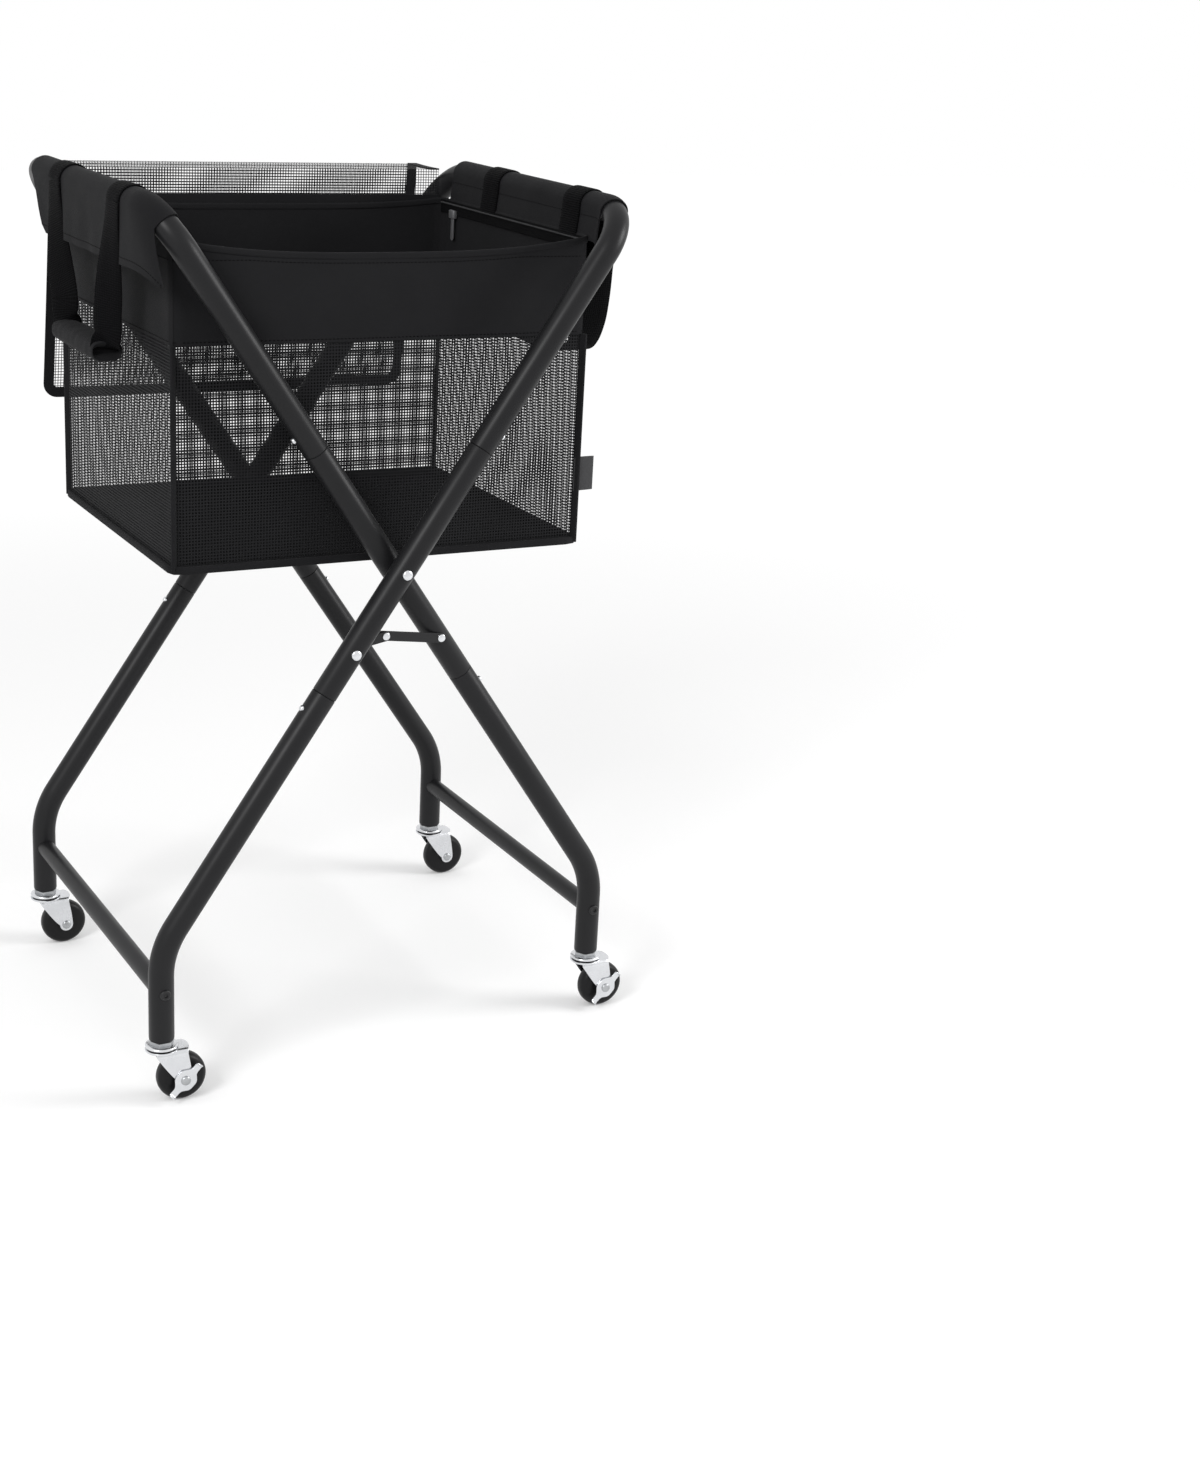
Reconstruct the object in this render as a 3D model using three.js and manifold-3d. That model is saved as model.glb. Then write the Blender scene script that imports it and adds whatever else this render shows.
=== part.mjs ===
// Folding ball cart: two crossed tube frames on swivel casters, and the mesh ball bag that hangs on
// their two top bars. Millimetres, +Z up, front of the cart towards -Y. It is drawn with x = 0 and
// y = 0 half way between the two pivots, and moved at the end so the origin is under its middle.
import * as THREE from "three";
import { mergeVertices } from "three/addons/utils/BufferGeometryUtils.js";
import Module from "manifold-3d";

// Driving sizes of the two tube frames
const tubeRadius = 12.7;
const tubeWall = 1.2;
const tubeSides = 16;
const slipGap = 0.4;
const seatGap = 0.3;
const barHeight = 871.4;
const barHalfSpan = 234;
const barBendRadius = 45;
const pivotHeight = 527.5;
const kneeHeight = 163;
const kneeBendRadius = 90;
const legEndHeight = 68;
const loopDepth = 412;
const spliceDistance = 143;
const spigotLength = 45;
const spreaderHeight = 121;
const spreaderRadius = 9.5;
const bendSteps = 6;
const kneeSteps = 4;

// Fasteners and the folding brace
const rivetRadius = 3;
const rivetHeadRadius = 5.2;
const rivetHeadHeight = 2.4;
const holeGap = 0.3;
const roundSides = 12;
const linkWidth = 10;
const linkThick = 1.6;
const linkGap = 0.3;
const braceRivetDistance = 92.8;
const braceShortShare = 0.4166;
const braceLongShare = 0.5957;
const braceTail = 20;
const braceHeadRadius = 4;
const braceHeadHeight = 1.2;
const buttonRadius = 3.2;
const buttonStandOut = 2.6;
const buttonDomeHeight = 1.4;
const buttonFlangeRadius = 4.5;
const buttonFlangeThick = 1.2;
const buttonTravel = 3;
const buttonFromSplice = 22;
const boltRadius = 3.1;
const boltHeadRadius = 5.4;
const boltHeadHeight = 1.6;
const boltSocketRadius = 2.4;
const boltSocketDepth = 1.1;
const boltReach = 12;
const spreaderPlugLength = 14;

// Casters
const wheelRadius = 25.4;
const wheelWidth = 21;
const wheelFacets = 24;
const treadBand = 9;
const treadRound = 5;
const hubRadius = 9;
const hubRecess = 1.4;
const casterTrail = 19.6;
const axleRadius = 3;
const runningGap = 0.05;
const stemPlugLength = 24;
const nutRadius = 12.4;
const nutHeight = 4.4;
const nutSides = 6;
const raceRadius = 16.2;
const raceThick = 4.6;
const raceEdge = 1.4;
const kingpinRadius = 4;
const kingpinHeadRadius = 6.2;
const kingpinHeadHeight = 1.5;
const forkSheet = 2.2;
const forkHeadRadius = 16.6;
const forkSideGap = 1.6;
const forkReach = 30;
const forkBackReach = 9;
const forkEndRadius = 7.5;
const axleHeadRadius = 5.2;
const axleHeadHeight = 2.2;
const leverThick = 1.5;
const leverBodyRadius = 11;
const leverReach = 23;
const leverWingHalfWidth = 4.6;
const leverTabHeight = 4;
const leverLeanDegrees = 46;

// Ball bag, its side flaps, lid, handles and zip sliders
const bagSideGap = 4.3;
const bagLegGap = 5.05;
const bagRimDrop = 36.4;
const bagHeight = 306;
const bagCornerRadius = 28;
const bagCornerSteps = 4;
const bagWall = 1.8;
const bandHeight = 88;
const meshFoot = 9;
const meshRows = 4;
const meshWideColumns = 7;
const meshDeepColumns = 5;
const meshOpenShare = 0.62;
const flapSheet = 1.8;
const flapGap = 0.5;
const flapDrop = 56;
const flapBendOverlap = 7;
const flapSteps = 10;
const webWidth = 38;
const webThick = 2;
const webSteps = 8;
const webInnerDrop = 33;
const handleSwingGap = 3.5;
const leftHandleFront = -92;
const leftHandleBack = 84;
const leftHandleLean = -24;
const leftHandleDrop = 142;
const rightHandleFront = -128;
const rightHandleBack = 55;
const rightHandleLean = 0;
const rightHandleDrop = 152;
const handleRunWidth = 24;
const gripWidth = 30;
const gripHeight = 20;
const gripRound = 8;
const gripLength = 128;
const lidSheet = 1.6;
const lidSideInset = 5;
const lidOverBar = 2.2;
const lidLegGap = 2.85;
const lidClearance = 0.6;
const foldGap = 0.3;
const sliderLength = 12;
const sliderWidth = 5;
const sliderHeight = 9;
const sliderDrop = 0.6;
const sliderFromBack = 31;
const pullWidth = 6;
const pullLength = 24;
const pullThick = 1.6;
const tabWidth = 14;
const tabHeight = 35;
const tabThick = 1.2;
const tabRise = 56;
const tabFromFront = 3;

// Sizes that follow from the driving ones
const tubeBore = tubeRadius - tubeWall;
const spigotRadius = tubeBore - slipGap;
const spigotBore = spigotRadius - tubeWall;
const layerStep = linkThick + linkGap;
const frameGap = 2 * layerStep + linkGap;
const frameShift = tubeRadius + frameGap / 2;
const outerLegY = -loopDepth / 2 - frameShift;
const innerLegY = loopDepth / 2 - frameShift;
const bagHalfWidth = barHalfSpan - tubeRadius - bagSideGap;
const bagHalfDepth = innerLegY - tubeRadius - bagLegGap;
const bagRimHeight = barHeight - bagRimDrop;
const bagBottomHeight = bagRimHeight - bagHeight;
const leanAngle = Math.atan2(barHalfSpan, barHeight - pivotHeight);
const upX = Math.sin(leanAngle);
const upZ = Math.cos(leanAngle);
const footHalfSpan = (pivotHeight - kneeHeight) * Math.tan(leanAngle);
const kneeReach = kneeBendRadius * Math.tan(leanAngle / 2);
const buttonDistance = spliceDistance + buttonFromSplice;
const axleHeight = wheelRadius * Math.cos(Math.PI / wheelFacets);
const raceTop = legEndHeight - nutHeight;
const raceBottom = raceTop - raceThick;
const forkTop = raceBottom - seatGap;
const cheekInner = wheelWidth / 2 + forkSideGap;
const cheekOuter = cheekInner + forkSheet;
const flapInner = tubeRadius + flapGap;
const flapOuter = flapInner + flapSheet;
const webOuter = flapOuter + webThick;
const mergeDistance = tubeRadius / 20000;
const overrun = tubeRadius;

const finishes = {
  frame: new THREE.MeshStandardMaterial({ color: 0x2f3032, roughness: 0.42, metalness: 0.35 }),
  zinc: new THREE.MeshStandardMaterial({ color: 0xc9ccd0, roughness: 0.3, metalness: 0.9 }),
  wheel: new THREE.MeshStandardMaterial({ color: 0x141414, roughness: 0.6, metalness: 0 }),
  brace: new THREE.MeshStandardMaterial({ color: 0x1c1c1e, roughness: 0.5, metalness: 0.3 }),
  mesh: new THREE.MeshStandardMaterial({ color: 0x17171a, roughness: 0.9, metalness: 0 }),
  oxford: new THREE.MeshStandardMaterial({ color: 0x1f1f22, roughness: 0.85, metalness: 0 }),
  webbing: new THREE.MeshStandardMaterial({ color: 0x101012, roughness: 0.8, metalness: 0 }),
  grip: new THREE.MeshStandardMaterial({ color: 0x232326, roughness: 0.75, metalness: 0 }),
  label: new THREE.MeshStandardMaterial({ color: 0x6f7074, roughness: 0.8, metalness: 0 }),
  zip: new THREE.MeshStandardMaterial({ color: 0x8d8f93, roughness: 0.4, metalness: 0.6 }),
};

const wasm = await Module();
wasm.setup();

// A closed geometry as a solid that can be joined and cut, with its faces turned outwards.
function solidOf(geometry) {
  const bare = geometry.clone();
  bare.deleteAttribute("normal");
  bare.deleteAttribute("uv");
  const merged = mergeVertices(bare, mergeDistance);
  const vertProperties = merged.attributes.position.array;
  const triVerts = new Uint32Array(merged.index.array);
  const solid = new wasm.Manifold(new wasm.Mesh({ numProp: 3, vertProperties, triVerts }));
  if (solid.volume() > 0) return solid;
  triVerts.reverse();
  return new wasm.Manifold(new wasm.Mesh({ numProp: 3, vertProperties, triVerts }));
}

function geometryOf(solid) {
  const mesh = solid.getMesh();
  const geometry = new THREE.BufferGeometry();
  geometry.setAttribute("position", new THREE.BufferAttribute(mesh.vertProperties, mesh.numProp));
  geometry.setIndex(new THREE.BufferAttribute(mesh.triVerts, 1));
  geometry.computeVertexNormals();
  return geometry;
}

function join(first, ...rest) {
  return rest.reduce((whole, piece) => whole.add(piece), first);
}

function cut(first, ...rest) {
  return rest.reduce((whole, piece) => whole.subtract(piece), first);
}

function addMesh(group, name, solid, finish) {
  const mesh = new THREE.Mesh(geometryOf(solid), finishes[finish]);
  mesh.name = name;
  group.add(mesh);
  return mesh;
}

// Box from its lowest to its highest corner.
function block(low, high) {
  const size = new THREE.Vector3().subVectors(high, low);
  const box = new THREE.BoxGeometry(size.x, size.y, size.z);
  box.translate((low.x + high.x) / 2, (low.y + high.y) / 2, (low.z + high.z) / 2);
  return solidOf(box);
}

function at(x, y, z) {
  return new THREE.Vector3(x, y, z);
}

// Round bar between two points.
function rod(from, to, radius, sides = roundSides) {
  const along = new THREE.Vector3().subVectors(to, from);
  const bar = new THREE.CylinderGeometry(radius, radius, along.length(), sides);
  const turn = new THREE.Quaternion().setFromUnitVectors(at(0, 1, 0), along.clone().normalize());
  bar.applyQuaternion(turn);
  bar.translate((from.x + to.x) / 2, (from.y + to.y) / 2, (from.z + to.z) / 2);
  return solidOf(bar);
}

// Shallow rivet head: a frustum whose wide end sits at the seat.
function rivetHead(seat, direction, radius, height) {
  const head = new THREE.CylinderGeometry(radius * headTopShare, radius, height, roundSides);
  head.translate(0, height / 2, 0);
  head.applyQuaternion(new THREE.Quaternion().setFromUnitVectors(at(0, 1, 0), direction));
  head.translate(seat.x, seat.y, seat.z);
  return solidOf(head);
}

// Solid of revolution about Z from a closed profile of [radius, height] pairs.
function turned(profile, segments = tubeSides) {
  const points = [...profile, profile[0]].map(([r, h]) => new THREE.Vector2(r, h));
  const lathe = new THREE.LatheGeometry(points, segments);
  lathe.rotateX(Math.PI / 2);
  return solidOf(lathe);
}

// Path through chosen points, with one ring of the section at each of them.
class Route extends THREE.Curve {
  constructor(points) {
    super();
    this.points = points;
  }
  getPointAt(share, target = new THREE.Vector3()) {
    const place = share * (this.points.length - 1);
    const index = Math.min(Math.floor(place), this.points.length - 2);
    return target.lerpVectors(this.points[index], this.points[index + 1], place - index);
  }
  getTangentAt(share, target = new THREE.Vector3()) {
    const index = Math.round(share * (this.points.length - 1));
    const before = this.points[Math.max(index - 1, 0)];
    const here = this.points[index];
    const after = this.points[Math.min(index + 1, this.points.length - 1)];
    const arriving = new THREE.Vector3().subVectors(here, before).normalize();
    const leaving = new THREE.Vector3().subVectors(after, here).normalize();
    return target.addVectors(arriving, leaving).normalize();
  }
}

function ring(radius, sides) {
  return Array.from({ length: sides }, (_, i) => {
    const angle = (2 * Math.PI * (i + halfStepShare)) / sides;
    return new THREE.Vector2(radius * Math.cos(angle), radius * Math.sin(angle));
  });
}

// Hollow tube along a route, open at both ends.
function hollowTube(points, radius, bore) {
  const section = new THREE.Shape(ring(radius, tubeSides));
  section.holes.push(new THREE.Path(ring(bore, tubeSides)));
  const steps = points.length - 1;
  return solidOf(new THREE.ExtrudeGeometry(section, { steps, extrudePath: new Route(points) }));
}

// Points of a bend that leaves along -inward and turns to -along, both unit vectors.
function bendPoints(corner, inward, along, radius, steps) {
  const centre = corner.clone().addScaledVector(inward, radius).addScaledVector(along, radius);
  return Array.from({ length: steps + 1 }, (_, i) => {
    const angle = (i / steps) * (Math.PI / 2);
    return centre
      .clone()
      .addScaledVector(inward, -radius * Math.sin(angle))
      .addScaledVector(along, -radius * Math.cos(angle));
  });
}

// A flat outline in X and Z, given a thickness along Y.
function plateXZ(outline, yLow, yHigh, holes = []) {
  const shape = new THREE.Shape(outline.map(([x, z]) => new THREE.Vector2(x, z)));
  for (const hole of holes) shape.holes.push(hole);
  const plate = new THREE.ExtrudeGeometry(shape, { depth: yHigh - yLow, bevelEnabled: false });
  plate.rotateX(Math.PI / 2);
  plate.translate(0, yHigh, 0);
  return solidOf(plate);
}

const headTopShare = 0.62;
const halfStepShare = 0.5;

// Point on the lower (minus) or upper (plus) half of the slanted tube, and its underside.
const onTube = (distance, y) => at(distance * upX, y, pivotHeight + distance * upZ);
const underside = (distance) => at(Math.sign(distance) * upZ, 0, -Math.sign(distance) * upX);
const towardsBar = at(upX, 0, upZ);
const forward = at(0, -1, 0);
const backward = at(0, 1, 0);

// Looped top tube: up from one splice, across as the bar the bag hangs on, and down again.
function loopTube() {
  const start = spliceDistance + seatGap / 2;
  const downwards = towardsBar.clone().negate();
  const frontCorner = at(barHalfSpan, outerLegY, barHeight);
  const backCorner = at(barHalfSpan, innerLegY, barHeight);
  const front = bendPoints(frontCorner, backward, downwards, barBendRadius, bendSteps).reverse();
  const back = bendPoints(backCorner, forward, downwards, barBendRadius, bendSteps);
  const route = [onTube(start, outerLegY), ...front, ...back, onTube(start, innerLegY)];
  const tube = hollowTube(route, tubeRadius, tubeBore);
  return cut(tube, buttonHole(1, outerLegY), buttonHole(1, innerLegY));
}

// Hole for a snap button, through the underside walls of a tube and of the spigot in it.
function buttonHole(half, y) {
  const centre = onTube(half * buttonDistance, y);
  const outwards = underside(half);
  const end = centre.clone().addScaledVector(outwards, tubeRadius + overrun);
  return rod(centre, end, buttonRadius + holeGap);
}

// Middle tube: carries the pivot, and a thinner spigot at each end for the tubes it joins.
function middleTube(y) {
  const shoulder = spliceDistance - seatGap / 2;
  const tip = spliceDistance + spigotLength;
  const profile = [
    [spigotBore, -tip],
    [spigotRadius, -tip],
    [spigotRadius, -shoulder],
    [tubeRadius, -shoulder],
    [tubeRadius, shoulder],
    [spigotRadius, shoulder],
    [spigotRadius, tip],
    [spigotBore, tip],
  ];
  const tube = turned(profile)
    .rotate([0, THREE.MathUtils.radToDeg(leanAngle), 0])
    .translate([0, y, pivotHeight]);
  const across = (distance) => {
    const centre = onTube(distance, y);
    const reach = tubeRadius + overrun;
    const from = centre.clone().addScaledVector(forward, reach);
    const to = centre.clone().addScaledVector(backward, reach);
    return rod(from, to, rivetRadius + holeGap);
  };
  const buttons = [buttonHole(-1, y), buttonHole(1, y)];
  return cut(tube, across(0), across(-braceRivetDistance), ...buttons);
}

// Leg tube: from the lower splice down to the knee, and straight down to the caster.
function legTube(y, outwards) {
  const start = onTube(-spliceDistance - seatGap / 2, y);
  const centreX = -footHalfSpan + kneeBendRadius;
  const centreZ = kneeHeight - kneeReach;
  const knee = Array.from({ length: kneeSteps + 1 }, (_, i) => {
    const angle = leanAngle * (1 - i / kneeSteps);
    const x = centreX - kneeBendRadius * Math.cos(angle);
    return at(x, y, centreZ + kneeBendRadius * Math.sin(angle));
  });
  const route = [start, ...knee, at(-footHalfSpan, y, legEndHeight)];
  const bolt = at(-footHalfSpan, y, spreaderHeight);
  const boltFrom = bolt.clone().addScaledVector(outwards, tubeRadius + overrun);
  const boltTo = bolt.clone().addScaledVector(outwards, -tubeRadius - overrun);
  const tube = hollowTube(route, tubeRadius, tubeBore);
  return cut(tube, buttonHole(-1, y), rod(boltFrom, boltTo, boltRadius + holeGap));
}

// Spreader: straight tube between the two legs of one frame, hollowed to sit round each of them.
function spreader() {
  const height = spreaderHeight;
  const middle = (y) => at(-footHalfSpan, y, height);
  const body = rod(middle(outerLegY), middle(innerLegY), spreaderRadius, tubeSides);
  const boreFrom = outerLegY + tubeRadius + spreaderPlugLength;
  const boreTo = innerLegY - tubeRadius - spreaderPlugLength;
  const bore = rod(middle(boreFrom), middle(boreTo), spreaderRadius - tubeWall, tubeSides);
  const threads = rod(middle(outerLegY), middle(innerLegY), boltRadius + holeGap);
  const saddle = (y) => {
    const low = at(-footHalfSpan, y, height - 2 * tubeRadius);
    const high = at(-footHalfSpan, y, height + 2 * tubeRadius);
    return rod(low, high, (tubeRadius + seatGap) / Math.cos(Math.PI / tubeSides), tubeSides);
  };
  return cut(body, bore, threads, saddle(outerLegY), saddle(innerLegY));
}

// Bolt that holds the spreader: head on the outer face of the leg, shank through it.
function spreaderBolt(y, outwards) {
  const seat = at(-footHalfSpan, y, spreaderHeight).addScaledVector(outwards, tubeRadius + seatGap);
  const top = seat.clone().addScaledVector(outwards, boltHeadHeight);
  const tip = seat.clone().addScaledVector(outwards, -2 * tubeRadius - boltReach);
  const socketFloor = top.clone().addScaledVector(outwards, -boltSocketDepth);
  const socketTop = top.clone().addScaledVector(outwards, overrun);
  const body = join(rod(seat, top, boltHeadRadius), rod(tip, top, boltRadius, roundSides));
  return cut(body, rod(socketFloor, socketTop, boltSocketRadius, nutSides));
}

// Spring button that locks a splice: domed pin with a flange inside the spigot.
function snapButton(half, y) {
  const outwards = underside(half);
  const centre = onTube(half * buttonDistance, y);
  const along = (distance) => centre.clone().addScaledVector(outwards, distance);
  const flangeTop = Math.sqrt(spigotBore ** 2 - buttonFlangeRadius ** 2) - buttonDomeHeight / 2;
  const flangeLow = flangeTop - buttonFlangeThick;
  const shoulder = tubeRadius + buttonStandOut - buttonDomeHeight;
  const pin = rod(along(flangeLow), along(shoulder), buttonRadius);
  const flange = rod(along(flangeLow), along(flangeTop), buttonFlangeRadius);
  const dome = rivetHead(along(shoulder), outwards, buttonRadius, buttonDomeHeight);
  return join(pin, flange, dome);
}

// Pivot rivet: through both frames, with a collar that keeps them a brace's depth apart.
function pivotRivet() {
  const outerFace = outerLegY - tubeRadius - seatGap;
  const innerFace = -innerLegY + tubeRadius + seatGap;
  const gapFrom = outerLegY + tubeRadius + seatGap;
  const gapTo = -innerLegY - tubeRadius - seatGap;
  const on = (y) => at(0, y, pivotHeight);
  return join(
    rod(on(outerFace - seatGap), on(innerFace + seatGap), rivetRadius),
    rod(on(gapFrom), on(gapTo), 2 * rivetRadius),
    rivetHead(on(outerFace), forward, rivetHeadRadius, rivetHeadHeight),
    rivetHead(on(innerFace), backward, rivetHeadRadius, rivetHeadHeight),
  );
}

// Place of the brace's middle rivet, above the straight line between its two end rivets.
function braceMiddle() {
  const halfSpan = braceRivetDistance * upX;
  const height = pivotHeight - braceRivetDistance * upZ;
  const span = 2 * halfSpan;
  const short = braceShortShare * span;
  const long = braceLongShare * span;
  const along = (short ** 2 - long ** 2 + span ** 2) / (2 * span);
  const rise = Math.sqrt(short ** 2 - along ** 2);
  return at(-halfSpan + along, 0, height + rise);
}

// Flat link between two points in X and Z, with round ends.
function linkPlate(from, to, tail, yLow, yHigh) {
  const along = new THREE.Vector3().subVectors(to, from).setY(0).normalize();
  const side = at(-along.z, 0, along.x);
  const half = linkWidth / 2;
  const end = to.clone().addScaledVector(along, tail);
  const corner = (point, sign) => {
    const place = point.clone().addScaledVector(side, sign * half);
    return [place.x, place.z];
  };
  const outline = [corner(from, 1), corner(from, -1), corner(end, -1), corner(end, 1)];
  const discs = tail > 0 ? [from] : [from, to];
  const rounds = discs.map((p) => rod(at(p.x, yLow, p.z), at(p.x, yHigh, p.z), half));
  return join(plateXZ(outline, yLow, yHigh), ...rounds);
}

// Short brace link, riveted through the outer leg of its frame; it carries the middle rivet's head.
function braceShort() {
  const from = onTube(-braceRivetDistance, 0);
  const to = braceMiddle();
  const yLow = outerLegY + tubeRadius + linkGap;
  const yHigh = yLow + linkThick;
  const outerFace = outerLegY - tubeRadius - seatGap;
  const on = (point, y) => at(point.x, y, point.z);
  return join(
    linkPlate(from, to, 0, yLow, yHigh),
    rod(on(from, outerFace - seatGap), on(from, yHigh), rivetRadius),
    rivetHead(on(from, outerFace), forward, rivetHeadRadius, rivetHeadHeight),
    rivetHead(on(to, yLow + linkGap), forward, braceHeadRadius, braceHeadHeight + linkGap),
  );
}

// Long brace link, riveted through the inner leg; it runs on past the middle rivet.
function braceLong() {
  const from = onTube(-braceRivetDistance, 0);
  const middle = braceMiddle().multiply(at(-1, 1, 1));
  const yLow = innerLegY + tubeRadius + linkGap;
  const yHigh = yLow + linkThick;
  const innerFace = innerLegY - tubeRadius - seatGap;
  const on = (y) => at(from.x, y, from.z);
  return join(
    linkPlate(from, middle, braceTail, yLow, yHigh),
    rod(on(innerFace - seatGap), on(yHigh), rivetRadius),
    rivetHead(on(innerFace), forward, rivetHeadRadius, rivetHeadHeight),
  );
}

// Caster pieces, about their own swivel axis, with the wheel trailing towards +X
function casterStem() {
  const plugTop = legEndHeight + stemPlugLength;
  const bottom = forkTop - forkSheet - seatGap;
  const plug = rod(at(0, 0, legEndHeight - seatGap), at(0, 0, plugTop), tubeBore - slipGap, tubeSides);
  const nut = rod(at(0, 0, raceTop - seatGap), at(0, 0, legEndHeight - seatGap), nutRadius, nutSides);
  const race = turned(
    [
      [0, raceBottom],
      [raceRadius, raceBottom],
      [raceRadius, raceTop - raceEdge],
      [raceRadius - raceEdge, raceTop],
      [0, raceTop],
    ],
    wheelFacets,
  );
  const kingpin = rod(at(0, 0, bottom - seatGap), at(0, 0, raceTop), kingpinRadius);
  const head = rivetHead(at(0, 0, bottom), at(0, 0, -1), kingpinHeadRadius, kingpinHeadHeight);
  return join(plug, nut, race, kingpin, head);
}

function casterFork() {
  const low = forkTop - forkSheet;
  const crown = join(
    rod(at(0, 0, low), at(0, 0, forkTop), forkHeadRadius, wheelFacets),
    block(at(0, -cheekOuter, low), at(forkReach, cheekOuter, forkTop)),
  );
  const cheekOutline = [
    [-forkBackReach, forkTop],
    [-forkBackReach, low],
    [casterTrail - forkEndRadius, axleHeight],
    [casterTrail - forkEndRadius * diagonalShare, axleHeight - forkEndRadius * diagonalShare],
    [casterTrail, axleHeight - forkEndRadius],
    [casterTrail + forkEndRadius * diagonalShare, axleHeight - forkEndRadius * diagonalShare],
    [casterTrail + forkEndRadius, axleHeight],
    [forkReach, low],
    [forkReach, forkTop],
  ];
  const frontCheek = plateXZ(cheekOutline, -cheekOuter, -cheekInner);
  const backCheek = plateXZ(cheekOutline, cheekInner, cheekOuter);
  const reach = cheekOuter + overrun;
  const bore = axleRadius + runningGap;
  const axleHole = rod(at(casterTrail, -reach, axleHeight), at(casterTrail, reach, axleHeight), bore);
  const kingHole = rod(at(0, 0, low - overrun), at(0, 0, forkTop + overrun), kingpinRadius + holeGap);
  return cut(join(crown, frontCheek, backCheek), axleHole, kingHole);
}

function casterWheel() {
  const half = wheelWidth / 2;
  const band = treadBand / 2;
  const bore = (axleRadius + holeGap) / Math.cos(Math.PI / wheelFacets);
  const profile = [
    [bore, -half],
    [hubRadius, -half],
    [hubRadius, -half + hubRecess],
    [wheelRadius - treadRound, -half + hubRecess],
    [wheelRadius, -band],
    [wheelRadius, band],
    [wheelRadius - treadRound, half - hubRecess],
    [hubRadius, half - hubRecess],
    [hubRadius, half],
    [bore, half],
  ];
  const points = [...profile, profile[0]].map(([r, h]) => new THREE.Vector2(r, h));
  const lathe = new THREE.LatheGeometry(points, wheelFacets, Math.PI / wheelFacets);
  return solidOf(lathe).translate([casterTrail, 0, axleHeight]);
}

// Axle bolt; with a brake it is longer at the front, for the lever that turns on it.
function casterAxle(braked) {
  const on = (y) => at(casterTrail, y, axleHeight);
  const frontSeat = -cheekOuter - seatGap - (braked ? leverThick + seatGap : 0);
  const backSeat = cheekOuter + seatGap;
  return join(
    rod(on(frontSeat - seatGap), on(backSeat + seatGap), axleRadius),
    rivetHead(on(frontSeat), forward, axleHeadRadius, axleHeadHeight),
    rivetHead(on(backSeat), backward, axleHeadRadius, axleHeadHeight),
  );
}

// Brake lever: a plate on the axle with two wings whose tips stand out as finger tabs.
function brakeLever() {
  const yHigh = -cheekOuter - seatGap;
  const yLow = yHigh - leverThick;
  const lean = THREE.MathUtils.degToRad(leverLeanDegrees);
  const along = at(Math.cos(lean), 0, Math.sin(lean));
  const side = at(-along.z, 0, along.x);
  const place = (a, s) => {
    const p = at(casterTrail, 0, axleHeight).addScaledVector(along, a).addScaledVector(side, s);
    return [p.x, p.z];
  };
  const wing = leverWingHalfWidth;
  const shoulder = leverBodyRadius * leverShoulderShare;
  const half = (sign) => [
    place(-sign * shoulder, sign * leverBodyRadius * leverBellyShare),
    place(sign * shoulder, sign * leverBodyRadius * leverBellyShare),
    place(sign * leverBodyRadius, sign * wing),
    place(sign * leverReach, sign * wing),
    place(sign * leverReach, -sign * wing * leverTipShare),
    place(sign * leverBodyRadius, -sign * wing),
  ];
  const plate = plateXZ([...half(1), ...half(-1)].reverse(), yLow, yHigh);
  const tab = (sign) => {
    const inner = sign * (leverReach - leverThick);
    const outline = [
      place(inner, sign * wing),
      place(sign * leverReach, sign * wing),
      place(sign * leverReach, -sign * wing * leverTipShare),
      place(inner, -sign * wing * leverTipShare),
    ];
    return plateXZ(outline.reverse(), yLow - leverTabHeight, yHigh);
  };
  const reach = cheekOuter + 2 * overrun;
  const on = (y) => at(casterTrail, y, axleHeight);
  const hole = rod(on(-reach), on(0), axleRadius + holeGap);
  return cut(join(plate, tab(1), tab(-1)), hole);
}

const diagonalShare = Math.SQRT1_2;
const leverShoulderShare = 0.45;
const leverBellyShare = 0.86;
const leverTipShare = 0.7;

// One frame with its casters. Both frames are the same; one is turned half round to cross the other.
function buildFrame(letter, turn, outerName, innerName) {
  const frame = new THREE.Group();
  frame.rotation.z = turn;
  addMesh(frame, `loop_tube_${letter}`, loopTube(), "frame");
  addMesh(frame, `spreader_${letter}`, spreader(), "frame");
  addMesh(frame, `pivot_rivet_${outerName}`, pivotRivet(), "zinc");
  addMesh(frame, `brace_short_${outerName}`, braceShort(), "brace");
  addMesh(frame, `brace_long_${innerName}`, braceLong(), "brace");
  const legs = [
    { y: outerLegY, outwards: forward, place: outerName },
    { y: innerLegY, outwards: backward, place: innerName },
  ];
  for (const { y, outwards, place } of legs) {
    addMesh(frame, `middle_tube_${letter}_${place}`, middleTube(y), "frame");
    addMesh(frame, `leg_tube_${letter}_${place}`, legTube(y, outwards), "frame");
    addMesh(frame, `snap_button_${letter}_upper_${place}`, snapButton(1, y), "zinc");
    addMesh(frame, `snap_button_${letter}_lower_${place}`, snapButton(-1, y), "zinc");
    addMesh(frame, `spreader_bolt_${letter}_${place}`, spreaderBolt(y, outwards), "brace");
  }
  return frame;
}

// Caster under one leg; the two at the front of the cart have the brake lever.
function buildCaster(name, x, y, braked) {
  const caster = new THREE.Group();
  caster.position.set(x, y, 0);
  addMesh(caster, `caster_stem_${name}`, casterStem(), "zinc");
  addMesh(caster, `caster_fork_${name}`, casterFork(), "zinc");
  addMesh(caster, `caster_wheel_${name}`, casterWheel(), "wheel");
  addMesh(caster, `caster_axle_${name}`, casterAxle(braked), "zinc");
  if (braked) addMesh(caster, `brake_lever_${name}`, brakeLever(), "zinc");
  return caster;
}

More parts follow.
